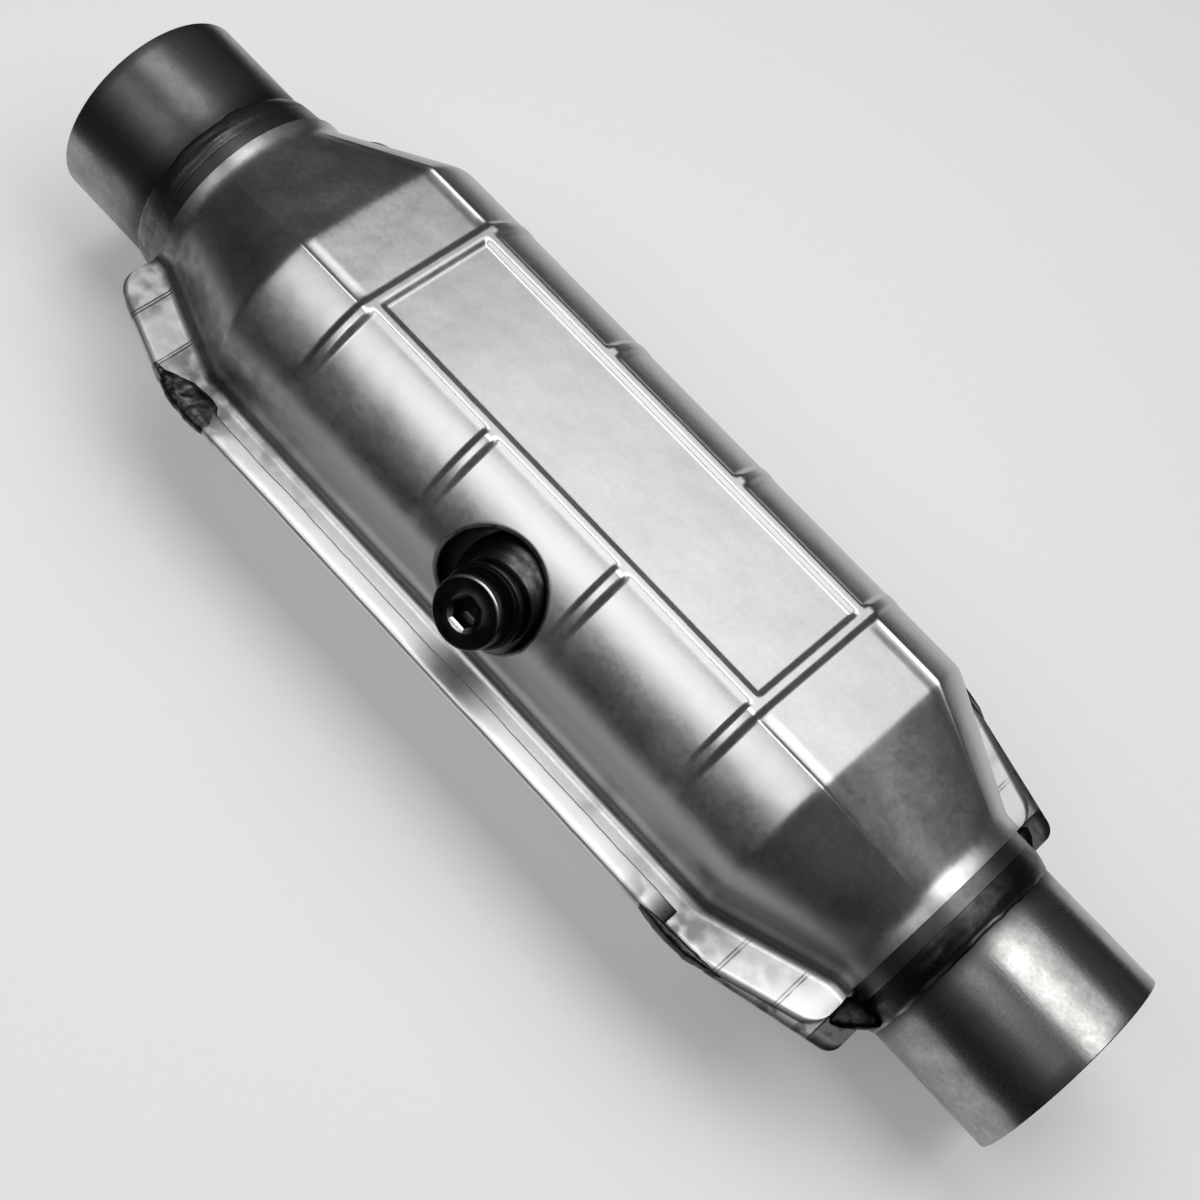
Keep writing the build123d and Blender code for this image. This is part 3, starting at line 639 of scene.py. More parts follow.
def sheet_point(x, run, edge):
    """Outer face of the upper pressing at a place along the axis and a run from its middle line.
    The body's section and the collar's circle are blended by the cone's share, bearing for bearing about the
    pipe axis. The beads stand out along the section's normal, and past the wall the sheet bends a quarter
    turn into the flange, which runs to its edge. The ends of the flange overhang the collars a little."""
    side = np.sign(run) + (run == 0)
    length = np.abs(run)
    wall = np.minimum(length, WALL_RUN)
    y = np.interp(wall, section_run, section_y)
    z = np.interp(wall, section_run, section_z)
    dy = np.interp(wall, section_run, tilt_y)
    dz = np.interp(wall, section_run, tilt_z)
    stretch = (COLLAR_FOOT_BEARING - crease_bearing) / (BODY_FOOT_BEARING - crease_bearing)
    beyond = crease_bearing + (np.arctan2(y, z) - crease_bearing) * stretch
    bearing = np.where(wall < FLAT_HALF_WIDTH, crease_bearing * wall / FLAT_HALF_WIDTH, beyond)
    share = cone_share(x)
    y = (1 - share) * y + share * COLLAR_RADIUS * np.sin(bearing)
    z = (1 - share) * z + share * COLLAR_RADIUS * np.cos(bearing)
    lift = bead_lift(x, wall) + crease_lip(x, wall) * (1 - share)
    y = y - lift * dz
    z = z + lift * dy
    turn = np.clip((length - WALL_RUN) / BEND_RUN, 0.0, 1.0) * math.pi / 2
    out = np.maximum((length - WALL_RUN - BEND_RUN) / FLANGE_RUN, 0.0)
    y = y + BEND_RADIUS * (1 - np.cos(turn))
    z = z - BEND_RADIUS * np.sin(turn)
    y = y + out * (edge(x) - y)
    on_flange = np.clip(out * 4, 0.0, 1.0)
    z = z - score_lines(x) * on_flange
    past_foot = np.clip((length - WALL_RUN) / BEND_RUN, 0.0, 1.0)
    near_start = 1 - smooth_step(0.0, 4.0, np.abs(x - shield_low[0]))
    near_end = 1 - smooth_step(0.0, 4.0, np.abs(shield_high[0] - x))
    shift = FLANGE_OVERHANG * (1 - past_foot) * (near_start - near_end)
    return np.stack((x + shift, side * y, z), axis=-1)


def sheet_normal(x, run, edge):
    """Outward normal of that face, from small steps each way along the axis and along the run."""
    step = 0.02
    low, high = shield_low[0] + 1e-6, shield_high[0] - 1e-6
    ahead, behind = np.minimum(x + step, high), np.maximum(x - step, low)
    along = sheet_point(ahead, run, edge) - sheet_point(behind, run, edge)
    across = sheet_point(x, run + step, edge) - sheet_point(x, run - step, edge)
    normal = np.cross(along, across)
    return normal / np.linalg.norm(normal, axis=-1, keepdims=True)


def spaced(*pieces):
    """Places from several stretches, each given as start, end and the widest step, without repeats."""
    parts = []
    for start, end, step in pieces:
        count = max(int(math.ceil(abs(end - start) / step)), 1)
        parts.append(np.linspace(start, end, count + 1)[:-1])
    parts.append([pieces[-1][1]])
    return np.concatenate(parts)


def stations():
    """Places along the axis: close together at the rounded flange corners, folds, score lines and beads."""
    turn = np.linspace(0.0, math.pi / 2, 12)
    rounded = FLANGE_CORNER * (1 - np.cos(turn))
    half = [shield_low[0] + rounded]
    end_bead = middle - end_bead_place
    mid_bead = middle - MIDDLE_BEAD_PITCH / 2
    score_a, score_b = middle - SCORE_PLACES[0], middle - SCORE_PLACES[1]
    half.append(
        spaced(
            (shield_low[0] + FLANGE_CORNER + 0.6, score_a - 1.4, 1.2),
            (score_a - 1.4, score_a + 1.4, 0.2),
            (score_a + 1.4, score_b - 1.4, 2.4),
            (score_b - 1.4, score_b + 1.4, 0.2),
            (score_b + 1.4, body_start - 4.0, 2.4),
            (body_start - 4.0, body_start + 4.0, 0.6),
            (body_start + 4.0, end_bead - 4.0, 2.4),
            (end_bead - 4.0, end_bead + 4.0, 0.4),
            (end_bead + 4.0, mid_bead - 4.0, 2.4),
            (mid_bead - 4.0, mid_bead + 4.0, 0.4),
            (mid_bead + 4.0, middle, 2.4),
        )
    )
    half = np.unique(np.round(np.concatenate(half), 4))
    return np.concatenate((half, 2 * middle - half[:-1][::-1]))


def lanes():
    """Runs across the sheet: close together over the rails, the crease and the bend."""
    half = spaced(
        (0.0, RAIL_PLACE - 4.0, 2.8),
        (RAIL_PLACE - 4.0, FLAT_HALF_WIDTH + 2.5, 0.32),
        (FLAT_HALF_WIDTH + 2.5, WALL_RUN, 2.4),
        (WALL_RUN, WALL_RUN + BEND_RUN, 0.4),
        (WALL_RUN + BEND_RUN, FULL_RUN, 1.3),
    )
    return np.concatenate((-half[::-1], half[1:]))


def sheet_marks(x, run):
    """How burnished, how dark and how grey the sheet is: burnished on the flange; sooty near the welds and
    stained in blotches towards the flange's ends; painted shade in the score lines and on the sides towards
    the inlet; and a painted grey shade low down on the sides, broken by a painted highlight line near their
    foot."""
    length = np.abs(run)
    burnish = smooth_step(WALL_RUN, WALL_RUN + BEND_RUN, length)
    along = np.abs(x - middle)
    corner_place = middle - 92.0
    near_corner = np.exp(-(((along - corner_place) / 9.0) ** 2))
    near_corner = 0.55 * (near_corner * smooth_step(WALL_RUN - 3.0, WALL_RUN + 3.0, length))
    near_neck = np.exp(-(((along - (middle - shield_low[0])) / 2.0) ** 2)) * 0.35
    blotches = smooth_step(-0.3, 0.8, lumps(np.stack((x, run, np.zeros_like(x)), axis=-1), 6.0, 71))
    blotches = np.where(x < middle, 0.2 + 0.4 * blotches, 0.25 * blotches)
    stains = burnish * smooth_step(50.0, 60.0, along) * blotches
    # Painted shade in the score lines
    lines = score_lines(x) / SCORE_DEPTH * burnish * 0.7
    bearing = np.degrees(crease_bearing + (length - FLAT_HALF_WIDTH) / side_radius)
    # A painted highlight line near the foot of the wall, where the painted grey shade lets up
    painted_highlight_line = 0.7 * np.exp(-(((bearing - 80.5) / 2.2) ** 2))
    # Painted shade: grey low down on the sides
    bloom = smooth_step(52.0, 70.0, bearing) * (1 - burnish) * (1 - painted_highlight_line)
    # Painted shade on the sides towards the inlet
    inlet_side_shade = 0.4 * smooth_step(150.0, 90.0, x) * smooth_step(52.0, 68.0, bearing) * (1 - burnish)
    soot = np.clip(near_corner + near_neck + lines + stains + inlet_side_shade, 0.0, 1.0)
    return {"burnish": burnish, "soot": soot, "bloom": bloom}


section_off_hole = section_y * math.cos(HOLE_ANGLE) - section_z * math.sin(HOLE_ANGLE)


def hole_points(turn, radius):
    """Axis place and run where a cylinder about the hole's axis meets the side, at bearings about that axis:
    the run is read off the section, whose distance from the hole's axis plane is that of the cylinder
    there."""
    run = -np.interp(-radius * np.sin(turn), section_off_hole, section_run)
    return hole_x + radius * np.cos(turn), run


def build_sheet(edge, with_port):
    """The pressing as a closed sheet: outer skin, inner skin one sheet's thickness behind it, and rims
    between. Where the port is, a rectangle of the grid gives way to rings that blend its outline with the
    round hole, and the hole's edge rolls inwards through 80 degrees and is painted dark as shade."""
    x, run = stations(), lanes()
    rows, columns = len(x), len(run)
    grid_x, grid_run = np.meshgrid(x, run, indexing="ij")
    faces = grid_faces(rows, columns).reshape(rows - 1, columns - 1, 4)
    all_x, all_run = grid_x.ravel(), grid_run.ravel()
    keep = np.ones((rows - 1, columns - 1), bool)
    patch_faces = []
    if with_port:
        hole_run = hole_points(0.0, 0.0)[1]
        next_bead = middle + (MIDDLE_BEAD_PITCH - BEAD_BASE) / 2
        i0, i1 = np.searchsorted(x, hole_x - PORT_HOLE_RADIUS - 1.3) - 1, np.searchsorted(x, next_bead) - 1
        low_run = hole_points(-math.pi / 2, PORT_HOLE_RADIUS + 1.5)[1]
        high_run = hole_points(math.pi / 2, PORT_HOLE_RADIUS + 2.0)[1]
        j0, j1 = np.searchsorted(run, low_run) - 1, np.searchsorted(run, high_run)
        keep[i0:i1, j0:j1] = False
        border = (
            [(i, j0) for i in range(i0, i1)]
            + [(i1, j) for j in range(j0, j1)]
            + [(i, j1) for i in range(i1, i0, -1)]
            + [(i0, j) for j in range(j1, j0, -1)]
        )
        bi, bj = np.array(border).T
        turn = np.arctan2(run[bj] - hole_run, x[bi] - hole_x)
        edge_x, edge_run = hole_points(turn, PORT_HOLE_RADIUS)
        shares = np.array([0.12, 0.25, 0.38, 0.52, 0.66, 0.80, 0.92, 1.0])[:, None]
        all_x = np.concatenate((all_x, ((1 - shares) * x[bi] + shares * edge_x).ravel()))
        all_run = np.concatenate((all_run, ((1 - shares) * run[bj] + shares * edge_run).ravel()))
        count = len(bi)
        loop = bi * columns + bj
        for k in range(len(shares)):
            ring = rows * columns + k * count + np.arange(count)
            patch_faces.append(strip_faces(ring, loop))
            loop = ring
    outer = sheet_point(all_x, all_run, edge)
    inner = outer - SHEET * sheet_normal(all_x, all_run, edge)
    total = len(outer)
    skin = np.concatenate([faces[keep]] + patch_faces)
    points = [outer, inner]
    rim = grid_border(rows, columns)
    sides = [strip_faces(rim + total, rim)]
    if with_port:
        lip_loop = loop
        for k, bend in enumerate(np.linspace(0.0, math.radians(80.0), 6)[1:]):
            lip_x, lip_run = hole_points(turn, PORT_HOLE_RADIUS - HOLE_LIP * math.sin(bend))
            depth = HOLE_LIP * (1 - math.cos(bend))
            points.append(sheet_point(lip_x, lip_run, edge) - depth * sheet_normal(lip_x, lip_run, edge))
            ring = 2 * total + k * count + np.arange(count)
            sides.append(strip_faces(ring, lip_loop))
            lip_loop = ring
        sides.append(strip_faces(loop + total, lip_loop))
    all_faces = np.concatenate([skin, skin[:, ::-1] + total] + sides)
    # The hole's rolled lip is painted dark: painted shade inside the hole
    lip_shade_marks = {"burnish": 0.0, "soot": 0.85, "bloom": 0.0}
    lip_count = sum(len(p) for p in points) - 2 * total
    marks = {
        label: np.concatenate((m, m, np.full(lip_count, lip_shade_marks[label])))
        for label, m in sheet_marks(all_x, all_run).items()
    }
    return np.concatenate(points), [all_faces], marks


def turned_over(points, faces):
    """The same sheet below the seam: z changes sign, and the faces' corners run the other way round."""
    return points * np.array([1.0, 1.0, -1.0]), [f[:, ::-1] for f in faces]


def hem_strip(side):
    """The folded edge of the lower flange: a C-shaped section, rolled round the upper flange's edge and
    pressed flat on it, carried along the body. The lip's edge wanders a little and the roll has shallow
    dents."""
    start, end = middle - HEM_LENGTH / 2, middle + HEM_LENGTH / 2
    x = np.linspace(start, end, 162)
    centre_y, centre_z = flange_half_width, SHEET / 2
    roll = np.linspace(-math.pi / 2, math.pi / 2, 13)
    outer_y = np.concatenate((np.cos(roll) * 1.5 * SHEET, [-1.5, -3.0, -4.2]))
    outer_z = np.concatenate((np.sin(roll) * 1.5 * SHEET, [1.5 * SHEET] * 3))
    nose = np.linspace(math.pi / 2, 1.5 * math.pi, 7)
    nose_y = -HEM_LIP + 0.45 + 0.45 * np.cos(nose)
    nose_z = SHEET + np.sin(nose) * 0.5 * SHEET
    inner_y = np.concatenate(([-3.0, -1.5], np.cos(roll[::-2]) * 0.5 * SHEET))
    inner_z = np.concatenate(([0.5 * SHEET] * 2, np.sin(roll[::-2]) * 0.5 * SHEET))
    y = np.concatenate((outer_y, nose_y, inner_y)) + centre_y
    z = np.concatenate((outer_z, nose_z, inner_z)) + centre_z
    grid_x, grid_y = np.meshgrid(x, y, indexing="ij")
    grid_z = np.broadcast_to(z, grid_x.shape).copy()
    sample = np.stack((grid_x, np.full_like(grid_x, 7.0 * side), np.zeros_like(grid_x)), axis=-1)
    lip = smooth_step(-1.0, -HEM_LIP, grid_y - centre_y) * (grid_z > centre_z)
    roll_share = smooth_step(0.0, 1.2, grid_y - centre_y)
    grid_y = grid_y + lip * (0.35 * lumps(sample, 17.0, 3) + 0.12 * lumps(sample, 4.0, 4))
    grid_y = grid_y - roll_share * np.abs(0.16 * lumps(sample, 11.0, 5))
    grid_z = grid_z - (grid_z > centre_z) * np.abs(0.14 * lumps(sample, 13.0, 6)) * (1 - roll_share)
    points = np.stack((grid_x, side * grid_y, grid_z), axis=-1).reshape(-1, 3)
    count = len(y)
    faces = grid_faces(len(x), count, wrap_columns=True)
    pairs = count // 2
    low = np.arange(pairs)
    caps = []
    for first in (0, (len(x) - 1) * count):
        strip = np.stack((low[:-1], low[1:], count - 1 - low[1:], count - 1 - low[:-1]), axis=-1) + first
        caps.append(strip if first == 0 else strip[:, ::-1])
    faces = np.concatenate([faces] + caps)
    if side > 0:
        faces = faces[:, ::-1]
    flat = points.reshape(-1, 3)
    near = np.minimum(np.abs(flat[:, 0] - start), np.abs(end - flat[:, 0]))
    soot = np.exp(-((near / 13.0) ** 2))
    return points, [faces], {"burnish": np.ones(len(points)), "soot": soot, "bloom": np.zeros(len(points))}


def tab_plate(side):
    """The lower flange beyond the end of the shield: a flat plate outside the collar, with a rounded
    corner."""
    start, end = shield_high[0], shield_end + TAB_REACH
    turn = np.linspace(0.0, math.pi / 2, 10)
    x = np.concatenate((np.linspace(start, end - TAB_CORNER - 0.3, 4), end - TAB_CORNER * (1 - np.sin(turn))))
    share = np.linspace(0.0, 1.0, 5)
    outer = lower_edge(np.minimum(x, end - 1e-6))
    grid_y = TAB_INNER + (outer[:, None] - TAB_INNER) * share
    grid_x = np.broadcast_to(x[:, None], grid_y.shape)
    top = np.stack((grid_x, side * grid_y, np.zeros_like(grid_y)), axis=-1).reshape(-1, 3)
    bottom = top - np.array([0.0, 0.0, SHEET])
    rows, columns = grid_y.shape
    skin = grid_faces(rows, columns)
    total = len(top)
    rim = grid_border(rows, columns)
    faces = np.concatenate((skin, skin[:, ::-1] + total, strip_faces(rim + total, rim)))
    if side < 0:
        faces = faces[:, ::-1]
    points = np.concatenate((top, bottom))
    none, full = np.zeros(len(points)), np.ones(len(points))
    # The tab is sooty all over and takes the painted grey side shade as well
    marks = {"burnish": none, "soot": 0.9 * full, "bloom": full}
    return points, [faces], marks


upper = build_sheet(upper_edge, True)
lower_points, lower_faces, lower_marks = build_sheet(lower_edge, False)
# The lower flange is darkened where it comes out from under the upper one towards the outlet weld
outlet_darkening = 0.85 * smooth_step(297.0, 304.0, lower_points[:, 0]) * lower_marks["burnish"]
lower_marks["soot"] = np.maximum(lower_marks["soot"], outlet_darkening)
lower_shell = turned_over(lower_points, lower_faces) + (lower_marks,)
lower = join_shells([lower_shell, hem_strip(-1), hem_strip(1), tab_plate(-1), tab_plate(1)])
for shield, (sheet_points, sheet_faces, marks) in (("upper_shield", upper), ("lower_shield", lower)):
    make_piece(
        shield + "_pressing", sheet_points, sheet_faces, pressed_steel, [shield], marks,
    )


# Turned pieces: a closed profile carried round an axis


def around(profile_along, profile_radius, turns, origin=(0.0, 0.0, 0.0), axis=(1.0, 0.0, 0.0), closed=True):
    """Points of a profile turned about an axis: along the axis by one array and out from it by the other.
    The radius may be one value per profile point or a whole grid of turns by profile points."""
    axis = np.asarray(axis, float)
    first = np.cross(axis, (0.0, 1.0, 0.0) if abs(axis[0]) > 0.5 else (1.0, 0.0, 0.0))
    first /= np.linalg.norm(first)
    second = np.cross(axis, first)
    turn = np.linspace(0.0, 2 * math.pi, turns, endpoint=False)
    shape = (turns, len(profile_along) if np.ndim(profile_along) == 1 else np.shape(profile_along)[1])
    along = np.broadcast_to(profile_along, shape)
    radius = np.broadcast_to(profile_radius, shape)
    spoke = np.cos(turn)[:, None] * first + np.sin(turn)[:, None] * second
    points = np.asarray(origin) + along[..., None] * axis + radius[..., None] * spoke[:, None, :]
    faces = grid_faces(turns, shape[1], wrap_rows=True, wrap_columns=closed)
    return points.reshape(-1, 3), faces


def rounded_profile(corners, radii, steps=4):
    """A closed outline with each corner cut by an arc of its radius: an arc is a run of points between
    tangents."""
    corners = np.asarray(corners, float)
    along, out = [], []
    for here, before, after, radius in zip(corners, np.roll(corners, 1, 0), np.roll(corners, -1, 0), radii):
        if radius <= 0:
            along.append([here[0]])
            out.append([here[1]])
            continue
        back = (before - here) / np.linalg.norm(before - here)
        ahead = (after - here) / np.linalg.norm(after - here)
        half = math.acos(np.clip(back @ ahead, -1, 1)) / 2
        start, end = here + back * radius / math.tan(half), here + ahead * radius / math.tan(half)
        bisector = (back + ahead) / np.linalg.norm(back + ahead)
        centre = here + bisector * radius / math.sin(half)
        a0 = math.atan2(*(start - centre)[::-1])
        a1 = math.atan2(*(end - centre)[::-1])
        sweep = (a1 - a0 + math.pi) % (2 * math.pi) - math.pi
        angles = a0 + sweep * np.linspace(0, 1, steps + 1)
        along.append(centre[0] + radius * np.cos(angles))
        out.append(centre[1] + radius * np.sin(angles))
    return np.concatenate(along), np.concatenate(out)


def facing_out(points, faces):
    """The faces turned so that the closed shape's volume comes out positive."""
    a, b, c, d = (points[faces[:, k]] for k in range(4))
    volume = np.einsum("ij,ij->i", a, np.cross(b, c)) + np.einsum("ij,ij->i", a, np.cross(c, d))
    return faces[:, ::-1] if volume.sum() < 0 else faces


def turned_piece(name, corners, radii, material, slot, replaces, turns=128, soot=None, **placing):
    """A turned piece from a closed outline of (along, radius) corners with rounded edges."""
    along, radius = rounded_profile(corners, radii)
    points, faces = around(along, radius, turns, **placing)
    marks = {"soot": np.zeros(len(points)) if soot is None else soot(points)}
    return make_piece(name, points, facing_out(points, faces), material, replaces, marks)


def mirrored(place):
    """The same place along the axis at the other end of the shields."""
    return 2 * middle - place


NECK_WALL = 1.5
neck_bore = neck_radius - NECK_WALL


def neck_soot(points):
    """Heat stain on a neck, on the outside: full under the weld, then fading away over a few millimetres at
    the outlet. At the inlet it reaches three times as far and never quite ends."""
    at_inlet = points[:, 0] < middle
    toe = np.minimum(np.abs(points[:, 0] - weld_toe), np.abs(points[:, 0] - mirrored(weld_toe)))
    beyond = (points[:, 0] > weld_toe) & (points[:, 0] < mirrored(weld_toe))
    radius = np.hypot(points[:, 1], points[:, 2])
    least = np.where(at_inlet, 0.22, 0.0)
    stain = np.where(beyond, 1.0, least + (1 - least) * np.exp(-toe / np.where(at_inlet, 8.0, 2.5))) * 0.92
    return stain * (radius > neck_radius - 0.5)


def tube_outline(start, end, steps=14):
    """A neck's closed outline: inner and outer walls, with points along them so that a stain can follow."""
    outer = [(x, neck_radius) for x in np.linspace(start, end, steps)]
    inner = [(x, neck_bore) for x in np.linspace(end, start, 2)]
    radii = [0.35] + [0.0] * (steps - 2) + [0.35] + [0.35, 0.35]
    return outer + inner, radii


for neck, start, end in (
    ("inlet_neck", 0.0, inlet_neck_end),
    ("outlet_neck", outlet_neck_start, overall_length),
):
    outline, edge_radii = tube_outline(start, end)
    turned_piece(
        neck + "_tube", outline, edge_radii, tube_steel, "neck_tube", [neck], turns=192, soot=neck_soot,
    )

# Pressure cones, of which the collars show, and the liner cones seen through the necks
CONE_WALL = 1.5
# Heat stain and painted shade: the cones' collars are darkened for the gap between the shield's collar and
# the neck weld, which the light misses
CONE_SOOT_AND_SHADE = 0.62
LINER_SHEET = 1.0
collar_radius = neck_radius + 0.1 + CONE_WALL
cone_foot = shield_start + COLLAR_LENGTH + 1.0
liner_radius = neck_bore + LINER_SHEET
liner_lip = skirt_end - LINER_SHEET
skirt_bore = skirt_radius - CONE_WALL
for end, place in (("inlet", lambda x: x), ("outlet", mirrored)):
    cone_corners = [
        (place(cone_start), collar_radius),
        (place(cone_foot), collar_radius),
        (place(can_start), skirt_radius),
        (place(skirt_end), skirt_radius),
        (place(skirt_end), skirt_bore),
        (place(can_start), skirt_bore),
        (place(cone_foot), collar_radius - CONE_WALL),
        (place(cone_start), collar_radius - CONE_WALL),
    ]
    turned_piece(
        end + "_cone_drawn", cone_corners, (0.4, 2, 2, 0, 0, 1, 1, 0), tube_steel, "can_steel",
        [end + "_cone"],
        soot=lambda points: np.full(len(points), CONE_SOOT_AND_SHADE),
    )
    liner_corners = [
        (place(liner_start), liner_radius),
        (place(liner_lip), brick_radius),
        (place(liner_lip), skirt_bore),
        (place(skirt_end), skirt_bore),
        (place(skirt_end), brick_radius - LINER_SHEET),
        (place(liner_start), liner_radius - LINER_SHEET),
    ]
    turned_piece(
        end + "_liner_rolled", liner_corners, (0.3, 0, 0, 0.3, 0.3, 0.3), liner_steel, "can_steel",
        [end + "_liner_cone"],
    )

# Welds: surfaces with the ripples and lumps of laid metal


def streak_places(circle, share, spread):
    """Places in the noise for streaks along a bead: round it on the circle, and over it by the share times a
    spread."""
    across = np.broadcast_to(share[:, None] * spread, (len(circle), len(share), 1))
    return np.concatenate((np.repeat(circle[:, :, :2], len(share), axis=1), across), axis=2)


def ring_weld(name, place, node, rise, lean, ridge, toe_start, heel_end, seed, material):
    """A neck weld: an arched bead turned about the pipe axis. Its toe wanders on the tube, broad swells stand
    for the welder's stops, and its crown has only a hint of crescents. A ridge runs along its toe, painted
    lighter in places as a highlight."""
    turns, steps = 420, 26
    share = np.linspace(0.0, 1.0, steps)
    turn = np.linspace(0.0, 2 * math.pi, turns, endpoint=False)[:, None]
    circle = np.stack((np.cos(turn) * 30.0, np.sin(turn) * 30.0, np.full_like(turn, seed * 9.0)), axis=-1)
    wander = 0.45 * lumps(circle, 9.0, seed) + 0.25 * lumps(circle, 2.5, seed + 1)
    swell = 0.22 * lumps(circle, 14.0, seed + 2) + 0.10 * lumps(circle, 5.0, seed + 4)
    toe = toe_start + wander
    heel = heel_end + 0.35 * lumps(circle, 7.0, seed + 5)
    along = toe + (heel - toe) * share
    crown = np.sin(math.pi * share**0.85) ** 1.1
    base = neck_radius + (collar_radius - 0.1 - neck_radius) * share**lean
    lanes_at = streak_places(circle, share, 60.0)
    streaks = 0.16 * lumps(lanes_at, 12.0, seed + 3) + 0.05 * lumps(lanes_at, 5.0, seed + 6)
    toe_ridge = np.exp(-(((share - 0.07) / 0.04) ** 2)) * (ridge + 0.6 * ridge * lumps(circle, 4.0, seed + 7))
    radius = base + crown * (rise * (1 + 0.6 * swell) + streaks) + toe_ridge
    inside = np.full((turns, 1), neck_radius - 0.3)
    along = np.concatenate((along, heel, toe), axis=1)
    radius = np.concatenate((radius, inside, inside), axis=1)
    points, faces = around(place(along), radius, turns)
    # Painted highlight: the toe ridge is lighter in patches
    bare_and_glint = np.exp(-(((np.concatenate((share, [1.0, 1.0])) - 0.06) / 0.05) ** 2))
    bare_and_glint = bare_and_glint * smooth_step(-0.6, 0.7, lumps(circle, 5.0, seed + 8)) * (ridge > 0)
    marks = {"bare_and_glint": bare_and_glint.ravel()}
    return make_piece(name, points, facing_out(points, faces), material, [node], marks)


ring_weld(
    "inlet_neck_bead", lambda x: x, "inlet_neck_weld", rise=0.15, lean=0.55, ridge=0.0,
    toe_start=weld_toe + 0.6, heel_end=cone_start + 0.3, seed=11, material=stained_weld,
)
ring_weld(
    "outlet_neck_bead", mirrored, "outlet_neck_weld", rise=0.80, lean=1.3, ridge=0.16,
    toe_start=weld_toe - 0.3, heel_end=cone_start + 1.3, seed=23, material=weld_metal,
)


def lump_weld(name, node, side, places, outers, inners, lows, highs, rough, square, lightened, seed, material):
    """A weld lump laid over an edge: sections between an outer and an inner half width and a lowest and a
    highest level, oval where square is 1 and boxier below it, carried along the axis through the given
    places, and roughened with noise of three sizes. Its inner side is lighter grey in patches."""
    rows, columns = 90, 56
    x = np.linspace(places[0], places[-1], rows)
    close = np.sqrt(np.clip(1 - np.abs(np.linspace(-1, 1, rows)) ** 5, 0.0, 1.0))
    outer, inner = np.interp(x, places, outers), np.interp(x, places, inners)
    low, high = np.interp(x, places, lows), np.interp(x, places, highs)
    turn = np.linspace(0.0, 2 * math.pi, columns, endpoint=False)
    reach_y, reach_z = (outer - inner) / 2 * close, (high - low) / 2 * close
    out, up = np.cos(turn), np.sin(turn)
    y = (outer + inner)[:, None] / 2 + reach_y[:, None] * np.sign(out) * np.abs(out) ** square
    z = (high + low)[:, None] / 2 + reach_z[:, None] * np.sign(up) * np.abs(up) ** square
    points = np.stack((np.broadcast_to(x[:, None], y.shape), y, z), axis=-1)
    uneven = 0.5 * lumps(points, 4.2, seed) + 0.3 * lumps(points, 1.9, seed + 1)
    uneven = uneven + 0.16 * lumps(points, 0.9, seed + 2)
    outward = np.stack((np.zeros_like(y), out * np.ones_like(y), up * np.ones_like(y)), axis=-1)
    bare_and_glint = lightened * smooth_step(-0.3, 0.7, lumps(points, 3.2, seed + 3)) * smooth_step(0.3, -0.6, out)
    points = points + outward * (rough * uneven - rough * 0.6)[..., None] * close[:, None, None]
    points[..., 1] *= side
    points = points.reshape(-1, 3)
    faces = grid_faces(rows, columns, wrap_columns=True)
    ends = []
    half = columns // 2
    for first in (0, (rows - 1) * columns):
        low_side = np.arange(half) + first
        high_side = first + (columns - np.arange(half)) % columns
        ends.append(np.stack((low_side[:-1], low_side[1:], high_side[1:], high_side[:-1]), axis=-1))
    faces = np.concatenate([faces, ends[0], ends[1][:, ::-1]])
    marks = {"bare_and_glint": bare_and_glint.ravel()}
    return make_piece(name, points, facing_out(points, faces), material, [node], marks)


weld_reach = -corner("inlet_left_corner_weld", 0)[1]
weld_low = corner("inlet_left_corner_weld", 0)[2]
for hand, side in (("left", -1), ("right", 1)):
    lump_weld(
        f"inlet_{hand}_corner_bead", f"inlet_{hand}_corner_weld", side,
        places=(74.0, 79.3, 85.2, 90.3, 94.9, 98.3, 102.3, 105.2),
        outers=(
            60.6, 62.4, 64.2, weld_reach - 0.4, weld_reach, weld_reach, weld_reach - 0.2, weld_reach - 0.8,
        ),
        inners=(59.2, 58.2, 55.4, 54.4, 54.0, 54.4, 57.6, 62.0),
        lows=(-1.5, -2.0, weld_low, weld_low, weld_low, weld_low, -2.0, -1.6),
        highs=(1.9, 2.2, 2.8, 3.2, 3.4, 3.4, 3.0, 2.8),
        rough=0.6, square=0.85, lightened=0.5, seed=31 + 7 * side, material=rough_weld,
    )
    lump_weld(
        f"outlet_{hand}_corner_bead", f"outlet_{hand}_corner_weld", side,
        places=(286.5, 292.0, 299.0, 306.0, 311.0, 317.0),
        outers=(64.4, 65.0, weld_reach, 64.8, 63.4, 60.8),
        inners=(63.2, 62.4, 61.4, 61.0, 60.6, 59.9),
        lows=(-1.6, -2.2, weld_low, weld_low, -2.2, -1.4),
        highs=(2.8, 3.0, 3.0, 2.6, 2.2, 1.4),
        rough=0.4, square=0.9, lightened=0.2, seed=57 + 7 * side, material=weld_metal,
    )
    lump_weld(
        f"outlet_{hand}_tab_bead", f"outlet_{hand}_tab_weld", side,
        places=(343.6, 345.5, 348.5, 351.5, 354.0, 356.0),
        outers=(45.6, 46.2, 44.4, 41.4, 39.0, 36.6),
        inners=(33.8, 33.6, 33.4, 33.4, 33.2, 33.0),
        lows=(-1.5, -2.0, -2.2, -2.2, -1.8, -1.2),
        highs=(1.9, 2.4, 2.6, 2.4, 2.0, 1.2),
        rough=0.35, square=0.85, lightened=0.0, seed=83 + 7 * side, material=sooty_weld,
    )

# Sensor port


def on_port(along, radius, turns, closed=True):
    """A profile turned about the port's axis."""
    return around(along, radius, turns, origin=(port_x, 0.0, 0.0), axis=port_axis, closed=closed)


